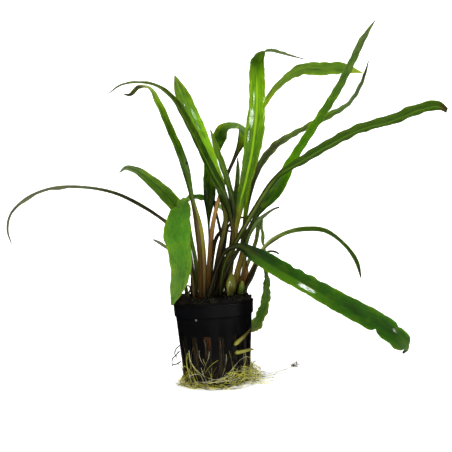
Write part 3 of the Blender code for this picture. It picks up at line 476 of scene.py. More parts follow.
def smoothRoute(rows):
    # a cubic through every row, closely sampled; each row ends with its own number
    rows = np.array([(*row, index) for index, row in enumerate(rows)], float)
    steps = np.linalg.norm(np.diff(rows[:, :3], axis=0), axis=1)
    slopes = np.diff(rows, axis=0) / steps[:, None]
    ends = np.empty_like(rows)
    ends[0] = slopes[0]
    ends[-1] = slopes[-1]
    before = steps[:-1, None]
    after = steps[1:, None]
    ends[1:-1] = (slopes[:-1] * after + slopes[1:] * before) / (before + after)
    part = np.linspace(0.0, 1.0, 16, endpoint=False)[:, None]
    square, cube = part ** 2, part ** 3
    fine = [
        (2 * cube - 3 * square + 1) * rows[index] + (3 * square - 2 * cube) * rows[index + 1]
        + step * ((cube - 2 * square + part) * ends[index] + (cube - square) * ends[index + 1])
        for index, step in enumerate(steps)
    ]
    return np.vstack([*fine, rows[-1:]])


def ringsAlong(rows, ringGap):
    # the rings' centres and what goes with them, closer together at the bends
    fine = smoothRoute(rows)
    steps = np.diff(fine[:, :3], axis=0)
    lengths = np.linalg.norm(steps, axis=1)
    ways = steps / lengths[:, None]
    turns = np.append(0.0, np.linalg.norm(np.diff(ways, axis=0), axis=1))
    weight = np.append(0.0, np.cumsum(lengths + growth["bendCare"] * turns))
    length = np.append(0.0, np.cumsum(lengths))
    wanted = np.linspace(0.0, weight[-1], int(weight[-1] / ringGap) + 2)
    found = [np.interp(wanted, weight, column) for column in fine.T]
    return np.stack(found, axis=1), np.interp(wanted, weight, length)


def bladeFrame(points, turns):
    # across runs from edge to edge, and face is the way that the upper side looks
    along = np.gradient(points, axis=0)
    along /= np.linalg.norm(along, axis=1)[:, None]
    front = np.array([0.0, -1.0, 0.0])
    facing = front - (along @ front)[:, None] * along
    facing /= np.linalg.norm(facing, axis=1)[:, None]
    turn = np.radians(turns)[:, None]
    across = np.cos(turn) * np.cross(along, facing) + np.sin(turn) * facing
    return across, np.cross(across, along)


def addTube(name, rings):
    # a rod of radius 1 along z, cut into rings, ready to be shaped
    selectOnly()
    bpy.ops.mesh.primitive_cylinder_add(vertices=growth["sides"], radius=1.0, depth=1.0)
    tube = nameLast(name)
    selectEdges(tube, lambda a, b: abs(a.z - b.z) > 0.5)
    bpy.ops.mesh.subdivide(number_cuts=rings - 2)
    bpy.ops.object.mode_set(mode="OBJECT")
    return tube


def growLeaf(node, leaf):
    # a round stalk that opens into a thin channelled blade with a rib under it
    shape = {**growth, **leaf}
    rows = [(*row, 0.0)[:5] for row in leaf["route"]]
    found, length = ringsAlong(rows, shape["ringGap"])
    centres, halfWidths, turns, number = found[:, :3], found[:, 3], found[:, 4], found[:, 5]
    across, face = bladeFrame(centres, turns)
    first, *others = node.split("_")
    tube = addTube(first + "".join(word.capitalize() for word in others), len(centres))
    mesh = tube.data
    co = np.empty(len(mesh.vertices) * 3)
    mesh.vertices.foreach_get("co", co)
    co = co.reshape(-1, 3)
    ring = np.rint((co[:, 2] + 0.5) * (len(centres) - 1)).astype(int)
    place = co[:, 0]  # -1 to 1, from edge to edge
    lid = -co[:, 1]  # over 0 on the upper side
    half = np.maximum(halfWidths, growth["thinnest"])[ring]
    run = length[ring]
    toTip = length[-1] - run
    blade = np.clip(number[ring] - leaf.get("stalkRows", len(rows)) + 0.5, 0.0, 1.0)
    blade = blade * blade * (3 - 2 * blade)
    seed = len(node)

    # wavy and uneven edges, with bites and lobes
    phase = 2 * math.pi * run / growth["waveLength"]
    ripple = 0.35 * wobble(run / 2.6, seed + 2.0 * (place > 0))
    wave = leaf.get("wave", 0.0) * blade * np.clip(toTip / growth["waveFade"], 0.0, 1.0)
    rise = wave * np.where(place < 0, np.sin(phase) + ripple, np.cos(phase) + ripple) * place ** 2
    edgeRun = run / shape["edgeStep"]
    outline = shape["outline"] * blade * wobble(edgeRun, seed + 5.0 * (place > 0))
    reach = 1.0 + outline * np.abs(place)
    for notchRun, side, halfLength, depth in leaf.get("notches", []):
        away = np.clip(np.abs(run - notchRun) / halfLength, 0.0, 1.0)
        limit = 1.0 - depth * (1.0 - away ** 2)
        bitten = (place * side > 0) & (np.abs(place) > limit)
        reach = np.where(bitten, limit / np.maximum(np.abs(place), 0.01), reach)
    for lobeRun, side, halfLength, size in leaf.get("lobes", []):
        away = np.clip(np.abs(run - lobeRun) / halfLength, 0.0, 1.0)
        reach = reach + size * (1.0 - away ** 2) * np.clip(place * side, 0.0, 1.0)
    sideways = place * reach * half

    # the blade's section, and the stalk's
    rib = np.exp(-((sideways / growth["ribWidth"]) ** 2)) * np.clip(toTip / growth["ribFade"], 0.0, 1.0)
    upper = lid > 0.01
    lamina = growth["laminaHalf"] * lid - np.where(upper, growth["grooveDepth"], growth["ribDepth"]) * rib
    trough = np.sqrt(place ** 2 + 0.02) - 0.57
    bladeRise = shape["channel"] * trough * half + rise + lamina
    hollow = growth["stalkGroove"] * half * np.exp(-((place / growth["grooveHalf"]) ** 2))
    rod = growth["stalkFlatness"] * half * lid - np.where(upper, hollow * leaf.get("grooved", 1.0), 0.0)
    upward = rod + (bladeRise - rod) * blade
    rough = growth["stalkLumps"] * half * (1.0 - blade) * wobble(run / 3.0 + 3.0 * place, seed)

    spot = centres[ring] + (sideways + rough * place)[:, None] * across[ring]
    spot = spot + upward[:, None] * face[ring]
    if leaf.get("rooted", True):
        spot[ring == 0, 2] = centres[0, 2] - growth["rootedDepth"]
    mesh.vertices.foreach_set("co", (spot * mm).ravel())
    painted = {
        "row": number[ring] / (len(rows) - 1),
        "along": run,
        "across": sideways,
        "edge": np.abs(place),
        "blade": blade,
        "upper": np.clip(lid * 4.0, 0.0, 1.0),
    }
    for name, values in painted.items():
        mesh.attributes.new(name, "FLOAT", "POINT").data.foreach_set("value", values)
    mesh.update()
    return tube


def leafMaterial(name, leaf):
    # living leaf: waxy skin over green tissue, so it is glossy and lets some light through
    material, tree, shader = startMaterial(name)
    row, along, across, edge, blade, upper = [
        addNode(tree, "Attribute", {}, "Fac", attribute_name=word)
        for word in ("row", "along", "across", "edge", "blade", "upper")
    ]
    last = len(leaf["route"]) - 1
    apart = len(name) * 3.7  # gives each leaf its own part of a pattern
    here = addNode(tree, "CombineXYZ", {"X": across, "Y": along, "Z": apart})
    stops = [(at / last, tone) for at, tone in sorted(leaf["tones"].items())]
    colour = addNode(tree, "ValToRGB", {"Fac": row}, stops=stops)

    def streaks(kind):
        # a pattern that follows the leaf
        *close, detail = skin[kind]
        scaled = addNode(tree, "VectorMath", {0: here, 1: (*close, 1.0)}, operation="MULTIPLY")
        pattern = {"Vector": scaled, "Scale": 1.0, "Detail": detail, "Roughness": 0.55}
        return addNode(tree, "TexNoise", pattern)

    def tint(tone, most, *limits, kind="MIX"):
        # lays a tone over the colour so far, at most so much, where every limit lets it: a socket
        # by itself, or with where it starts to let and where it lets in full
        nonlocal colour
        share = most
        for socket, *ends in limits:
            if ends:
                reach = {"Value": socket, "From Min": ends[0], "From Max": ends[1], "To Max": share}
                share = addNode(tree, "MapRange", reach, interpolation_type="SMOOTHSTEP")
            else:
                share = addNode(tree, "Math", {0: socket, 1: share}, operation="MULTIPLY")
        layers = {0: share, 6: colour, 7: toLinear(tone)}
        colour = addNode(tree, "Mix", layers, 2, data_type="RGBA", blend_type=kind)

    onBlade = (blade,)
    onStalk = (blade, 1.0, 0.0)
    blotches = streaks("blotches")
    look = {**skin, **leaf}
    tint(skin["veinTone"], look["veined"], (streaks("veins"), 0.42, 0.62))
    tint(skin["mottleTone"], look["mottle"], (blotches, 0.5, 0.68), onBlade)
    tint(skin["patchTone"], look["patchy"], (blotches, 0.5, 0.34))
    tint(*skin["stalkEdge"], (edge, 0.5, 0.98), onStalk, kind="MULTIPLY")
    tint(*skin["stalkMiddle"], (edge, 0.55, 0.05), onStalk, kind="SCREEN")
    if "split" in leaf:  # painted light and shade: a stalk's left half in another tone, darker where that side lies in shade or paler where light falls on it
        tone, at, end = leaf["split"]
        end = (end or last + 1) / last
        near = ((across, at + 0.35, at - 0.25), onStalk, (row, end + 0.5 / last, end - 0.5 / last))
        tint(tone, skin["splitShare"], *near)
    if "paintedLitHalf" in leaf:  # painted light: a lighter lower half near the foot of the blade, where it faces up into the light
        share, end = leaf["paintedLitHalf"]
        near = ((across, -1.0, 1.4), onBlade, (row, (end + 1.0) / last, (end - 1.0) / last))
        tint(skin["paintedLitTone"], share, *near)
    if "rib" in leaf:
        tone, share, *end = leaf["rib"]
        end = (*end, last)[0] / last
        away = addNode(tree, "Math", {0: across}, operation="ABSOLUTE")
        tint(tone, share, (away, 0.95, 0.35), onBlade, (row, end + 0.03, end - 0.03))
    if "spots" in leaf:
        tint(skin["spotTone"], leaf["spots"], (streaks("spots"), 0.62, 0.7), onBlade)
    tint(*look["edge"], (edge, 0.86, 0.99), onBlade)
    tint(*skin["underside"], (upper, 1.0, 0.0), onBlade)
    for alongMm, acrossMm, size, tone in leaf.get("blots", []):
        middle = (acrossMm, alongMm, apart)
        away = addNode(tree, "VectorMath", {0: here, 1: middle}, "Value", operation="DISTANCE")
        tint(tone, 1.0, (away, size, 0.5 * size))

    least = look["roughness"]
    dulled = {"Value": blotches, "From Min": 0.35, "From Max": 0.65, "To Min": least, "To Max": least + 0.06}
    height = {0: streaks("dimples"), 1: 1.2, 2: streaks("ridges")}
    height = addNode(tree, "Math", height, operation="MULTIPLY_ADD")
    normal = addNode(tree, "Bump", {"Strength": 0.55, "Distance": look["bump"] * mm, "Height": height})
    feed(tree, shader, {
        "Base Color": colour,
        "Roughness": addNode(tree, "MapRange", dulled, interpolation_type="SMOOTHSTEP"),
        "Normal": normal,
        "Coat Normal": normal,
        "IOR": skin["ior"],
        "Specular IOR Level": look["shine"],
        "Subsurface Weight": skin["glow"],
        "Subsurface Radius": skin["glowReach"],
        "Subsurface Scale": 1.2 * mm,
    })
    # a film of water in patches, smooth enough to mirror a lamp
    film = 0.0
    for alongMm, acrossMm, halfLength, halfWidth in leaf.get("wet", []):
        scale = (1 / halfWidth, 1 / halfLength, 0.0)
        shift = (-acrossMm / halfWidth, -alongMm / halfLength, 0.0)
        scaled = addNode(tree, "VectorMath", {0: here, 1: scale, 2: shift}, operation="MULTIPLY_ADD")
        away = addNode(tree, "VectorMath", {0: scaled}, "Value", operation="LENGTH")
        patch = {"Value": away, "From Min": 1.0, "From Max": 0.6}
        patch = addNode(tree, "MapRange", patch, interpolation_type="SMOOTHSTEP")
        film = addNode(tree, "Math", {0: patch, 1: film}, operation="MAXIMUM")
        feed(tree, shader, {
            "Coat Weight": film, "Coat Roughness": skin["filmRoughness"], "Coat IOR": skin["filmIor"],
        })
    return material


slotOf = {row["node"]: row["material_slot"] for row in frame["record"]["subparts"]}
for node, leaf in leaves.items():
    grown = growLeaf(node, leaf)
    replaced = [node] if node in slotOf else []
    skinned = leafMaterial("waxy leaf skin " + node, leaf)
    finishPiece(grown, skinned, slotOf.get(node, "bare_stalk"), *replaced)
print("leaves grown:", len(leaves))


# Net pot

pot = {
    # mm, as in the part's source
    "height": 52.0, "rimRadius": 26.1, "rimBand": 8.7, "rimTaper": 0.5, "bandStep": 0.9,
    "footRadius": 21.3, "wall": 1.0, "rimWall": 1.4, "floor": 1.2, "sides": 128, "edgeRound": 0.22,
    "slots": 16, "slotWidth": 4.8, "slotBottom": 3.2, "slotTop": 32.0, "slotCorner": 0.9,
    "floorSlots": 8, "floorSlotWidth": 3.0, "floorSlotReach": (8.0, 17.0),
    # the last tone is a painted highlight, a small light fleck on the wall
    "plastic": "#0a0a0c", "driedFilm": "#2c281c", "lime": "#8a8c8e",
    "paintedGlintAt": (-0.0108, -0.0222, 0.0426),  # m
    "hazeScale": 90.0, "grainScale": 1800.0, "ior": 1.49,
    "shine": 0.1,  # dull, as the skin is slightly oxidised
}


def potWall(height):
    # the pot's outer radius below the rim band, in mm
    top = pot["rimRadius"] - pot["rimTaper"] - pot["bandStep"]
    return pot["footRadius"] + (top - pot["footRadius"]) * height / (pot["height"] - pot["rimBand"])


def drawOut(steps, radius, height):
    # carry the selected face on through rings of the given radius and height, and close the shell
    for nextRadius, nextHeight in steps:
        bpy.ops.mesh.extrude_region_move(
            TRANSFORM_OT_translate={"value": (0, 0, (nextHeight - height) * mm)}
        )
        share = nextRadius / radius
        bpy.ops.transform.resize(value=(share, share, 1.0))
        radius, height = nextRadius, nextHeight
    bpy.ops.mesh.select_all(action="SELECT")
    bpy.ops.mesh.normals_make_consistent(inside=False)
    bpy.ops.object.mode_set(mode="OBJECT")


def startShell(name, sides, radius, height):
    # a round face to draw out
    selectOnly()
    bpy.ops.mesh.primitive_circle_add(
        vertices=sides, radius=radius * mm, fill_type="NGON", location=(0, 0, height * mm)
    )
    shell = nameLast(name)
    bpy.ops.object.transform_apply()
    bpy.ops.object.mode_set(mode="EDIT")
    bpy.ops.mesh.select_mode(type="FACE")
    return shell


def addSlotCutter(size, away, up, angle):
    # a box with rounded long corners, turned to its place round the pot
    bpy.ops.mesh.primitive_cube_add(size=1.0, scale=[s * mm for s in size])
    cutter = bpy.context.object
    bpy.ops.object.transform_apply(location=False, rotation=False, scale=True)
    way = 0 if size[2] > size[1] else 2
    selectEdges(cutter, lambda a, b: abs(a[way] - b[way]) > 0.5 * mm * size[way])
    bpy.ops.mesh.bevel(offset=pot["slotCorner"] * mm, segments=4)
    bpy.ops.object.mode_set(mode="OBJECT")
    for vert in cutter.data.vertices:
        x = vert.co.x + away * mm
        y = vert.co.y
        vert.co.x = x * math.cos(angle) - y * math.sin(angle)
        vert.co.y = x * math.sin(angle) + y * math.cos(angle)
        vert.co.z += up * mm
    return cutter


def cutSlots(cup):
    tall = pot["slotTop"] - pot["slotBottom"]
    inner, outer = pot["floorSlotReach"]
    middle = (inner + outer) / 2
    kinds = [
        # how many, how the first is turned, size, and how far out and up
        (pot["slots"], 0.5, (10.0, pot["slotWidth"], tall), 24.0, pot["slotBottom"] + tall / 2),
        (pot["floorSlots"], 0.0, (outer - inner, pot["floorSlotWidth"], 2.9), middle, pot["floor"] / 2),
    ]
    selectOnly(*[
        addSlotCutter(size, away, up, 2 * math.pi * (index + offset) / count)
        for count, offset, size, away, up in kinds for index in range(count)
    ])
    bpy.ops.object.join()
    cutter = bpy.context.object
    selectOnly(cup)
    cut = cup.modifiers.new("slots", "BOOLEAN")
    cut.operation = "DIFFERENCE"
    cut.solver = "EXACT"
    cut.object = cutter
    bpy.ops.object.modifier_apply(modifier=cut.name)
    bpy.data.objects.remove(cutter)


def addPot():
    bandFoot = pot["height"] - pot["rimBand"]
    bandTop = pot["rimRadius"] - pot["rimTaper"]
    wallTop = bandTop - pot["bandStep"]
    mouth = pot["rimRadius"] - pot["rimWall"]
    start = pot["footRadius"] - 0.5
    cup = startShell("netPot", pot["sides"], start, 0.0)
    drawOut([
        (pot["footRadius"], 0.5),
        (wallTop, bandFoot - 0.5),
        (bandTop, bandFoot + 0.5),
        (pot["rimRadius"] - 0.15, pot["height"] - 1.3),
        (pot["rimRadius"] + 0.1, pot["height"] - 1.0),
        (pot["rimRadius"] + 0.1, pot["height"] - 0.4),
        (pot["rimRadius"] - 0.4, pot["height"]),
        (mouth + 0.3, pot["height"]),
        (mouth, pot["height"] - 0.5),
        (wallTop - pot["wall"], bandFoot),
        (potWall(pot["floor"]) - pot["wall"], pot["floor"]),
    ], start, 0.0)
    cutSlots(cup)
    soften = cup.modifiers.new("soften", "BEVEL")
    soften.width = pot["edgeRound"] * mm
    soften.segments = 2
    soften.limit_method = "ANGLE"
    soften.angle_limit = math.radians(50)
    bpy.ops.object.modifier_apply(modifier=soften.name)
    return cup


def potMaterial():
    # injection-moulded black polypropylene: satin, faintly dusty, with dried film near the foot
    material, tree, shader = startMaterial("moulded black polypropylene")
    place = addNode(tree, "TexCoord", {}, "Object")
    haze = addNode(tree, "TexNoise", {"Vector": place, "Scale": pot["hazeScale"], "Detail": 4.0})
    grain = addNode(tree, "TexNoise", {"Vector": place, "Scale": pot["grainScale"], "Detail": 2.0})
    height = addNode(tree, "SeparateXYZ", {"Vector": place}, "Z")
    low = addNode(tree, "MapRange", {"Value": height, "From Min": 0.022, "From Max": 0.0})
    film = addNode(tree, "Math", {0: low, 1: haze}, operation="MULTIPLY")
    colour = toLinear(pot["plastic"])
    # a painted highlight: a small light fleck on the wall where a glint shows
    away = addNode(tree, "VectorMath", {0: place, 1: pot["paintedGlintAt"]}, "Value", operation="DISTANCE")
    paintedGlint = addNode(tree, "MapRange", {"Value": away, "From Min": 0.0008, "From Max": 0.0003})
    for share, tone in ((film, pot["driedFilm"]), (paintedGlint, pot["lime"])):
        colour = addNode(tree, "Mix", {0: share, 6: colour, 7: toLinear(tone)}, 2, data_type="RGBA")
    dulled = {"Value": haze, "From Min": 0.3, "From Max": 0.7, "To Min": 0.38, "To Max": 0.52}
    feed(tree, shader, {
        "Base Color": colour,
        "Roughness": addNode(tree, "MapRange", dulled),
        "Normal": addNode(tree, "Bump", {"Height": grain, "Strength": 0.25, "Distance": 0.1 * mm}),
        "IOR": pot["ior"],
        "Specular IOR Level": pot["shine"],
    })
    return material


cup = addPot()
finishPiece(cup, potMaterial(), "black_polypropylene", "net_pot")
selectOnly(cup)
bpy.ops.object.shade_smooth_by_angle(angle=math.radians(32))
print("pot moulded")


# Growing wool

wool = {
    "sides": 120, "top": 54.9, "low": 1.6, "clear": 0.3, "crumbs": 640, "seed": 5,
    "mounds": (  # where it stands higher or lower, and by how much
        (22.0, -7.0, -0.8), (-20.0, -8.0, 1.8), (-20.5, 1.0, 1.9),
        (24.0, 0.0, -1.6), (23.0, 6.0, -1.2), (-15.0, 7.0, 1.6),
    ),
    "lumps": ((0.2, 1.9), (0.6, 1.1), (1.9, 0.6)),  # how close together, and how tall in mm
    "wet": ("#050403", "#1e160c"), "moss": "#2a2c0c", "roughness": 0.9, "shine": 0.2,
    "fibreScale": 1100.0, "patchScale": 150.0, "uprightScale": (900.0, 900.0, 70.0),
    "oldRoots": ("#0c0704", "#5c3a1a"), "shadow": "#1a190a",  # seen through the slots
    "bundleAt": (-0.0045, -0.0225, 0.006),  # m, with the height at 0.3 of its own
}


def woolRise(x, y):
    # how far the surface stands over or under its mean height
    return sum(tall * math.exp(-((x - a) ** 2 + (y - b) ** 2) / 16) for a, b, tall in wool["mounds"])


def addCrumbs(mouth):
    # loose crumbs, thicker along the rim and on the first three mounds
    random = np.random.default_rng(wool["seed"])
    spots = []
    for index in range(wool["crumbs"]):
        angle = random.uniform(0, 2 * math.pi)
        if random.random() < 0.55:
            away = (mouth + 0.6) * math.sqrt(random.uniform(0.0, 1.0))
        else:
            away = mouth * random.uniform(0.86, 1.03)
        size = random.uniform(0.25, 0.95)
        x, y, z = away * math.cos(angle), away * math.sin(angle), wool["top"] + random.uniform(-0.7, 0.5)
        if index % 8 == 0:
            x, y = np.array(wool["mounds"][index // 8 % 3][:2]) + random.uniform(-2.4, 2.4, 2)
            size *= 1.2
        spots.append((Vector((x, y, z + woolRise(x, y))), size))
    selectOnly()
    bpy.ops.mesh.primitive_ico_sphere_add(subdivisions=1, radius=1.0)
    crumb = bpy.context.object
    crumbs = []
    for spot, size in spots:
        copy = bpy.data.objects.new("crumb", crumb.data.copy())
        bpy.context.scene.collection.objects.link(copy)
        stretch = Vector(random.uniform(0.6, 1.3, 3) * size)
        for vert in copy.data.vertices:
            vert.co = (spot + vert.co * stretch * random.uniform(0.75, 1.2)) * mm
        crumbs.append(copy)
    bpy.data.objects.remove(crumb)
    return crumbs


def addWool():
    # a plug that fills the pot, rough all over and crumbly where it stands over the rim
    mouth = pot["rimRadius"] - pot["rimWall"] - 0.25
    wallTop = pot["rimRadius"] - pot["rimTaper"] - pot["bandStep"] - pot["wall"] - wool["clear"]
    bandFoot = pot["height"] - pot["rimBand"]
    low = wool["low"]
    start = potWall(low) - pot["wall"] - wool["clear"]
    steps = [(start + (wallTop - start) * k / 30, low + (bandFoot - low) * k / 30) for k in range(1, 31)]
    steps += [(mouth - 0.2, pot["height"] - 1.0), (mouth + 0.3, pot["height"] + 0.6)]
    steps += [(mouth + 0.1, wool["top"] - 0.6)]
    steps += [(mouth - 0.8 - (mouth - 1.6) * k / 22, wool["top"]) for k in range(23)]
    plug = startShell("growingWool", wool["sides"], start, low)
    drawOut(steps, start, low)
    for vert in plug.data.vertices:
        place = vert.co / mm
        away = math.hypot(place.x, place.y)
        lump = sum(noise.noise(place * close) * tall for close, tall in wool["lumps"])
        share = 0.5 * min(0.0, lump)
        if place.z > pot["height"] - 0.5:
            share = 0.4 * lump
            vert.co.z += (lump + woolRise(place.x, place.y) - 0.4) * mm
        if away > 1.0:
            vert.co.x += share * place.x / away * mm
            vert.co.y += share * place.y / away * mm
    selectOnly(plug, *addCrumbs(mouth))
    bpy.ops.object.join()
    return plug


def woolMaterial():
    # damp mineral wool grown through with old roots: near black, dull, with rusty and mossy patches
    material, tree, shader = startMaterial("damp growing wool")
    place = addNode(tree, "TexCoord", {}, "Object")
    fine = addNode(tree, "TexNoise", {"Vector": place, "Scale": wool["fibreScale"], "Detail": 4.0})
    patch = addNode(tree, "TexNoise", {"Vector": place, "Scale": wool["patchScale"], "Detail": 2.0})
    top = addNode(tree, "ValToRGB", {"Fac": fine}, stops=list(zip((0.35, 0.75), wool["wet"])))
    moss = addNode(tree, "MapRange", {"Value": patch, "From Min": 0.56, "From Max": 0.7, "To Max": 0.55})
    # below the rim, seen through the slots: brown old roots packed upright
    stretched = addNode(tree, "VectorMath", {0: place, 1: wool["uprightScale"]}, operation="MULTIPLY")
    upright = addNode(tree, "TexNoise", {"Vector": stretched, "Scale": 1.0, "Detail": 3.0})
    bark = addNode(tree, "ValToRGB", {"Fac": upright}, stops=list(zip((0.4, 0.68), wool["oldRoots"])))
    # one slot near the front shows a bright brown bundle of them
    level = addNode(tree, "VectorMath", {0: place, 1: (1.0, 1.0, 0.3)}, operation="MULTIPLY")
    away = addNode(tree, "VectorMath", {0: level, 1: wool["bundleAt"]}, "Value", operation="DISTANCE")
    warm = addNode(tree, "MapRange", {"Value": away, "From Min": 0.009, "From Max": 0.0035, "To Min": 0.1})
    height = addNode(tree, "SeparateXYZ", {"Vector": place}, "Z")
    low = addNode(tree, "MapRange", {"Value": height, "From Min": 0.04, "From Max": 0.036})
    top = addNode(tree, "Mix", {0: moss, 6: top, 7: toLinear(wool["moss"])}, 2, data_type="RGBA")
    bark = addNode(tree, "Mix", {0: warm, 6: toLinear(wool["shadow"]), 7: bark}, 2, data_type="RGBA")
    feed(tree, shader, {
        "Base Color": addNode(tree, "Mix", {0: low, 6: top, 7: bark}, 2, data_type="RGBA"),
        "Normal": addNode(tree, "Bump", {"Height": fine, "Strength": 0.8, "Distance": 0.6 * mm}),
        "Roughness": wool["roughness"],
        "Specular IOR Level": wool["shine"],
    })
    return material


finishPiece(addWool(), woolMaterial(), "growing_wool", "growing_wool")
print("wool packed")


# Roots

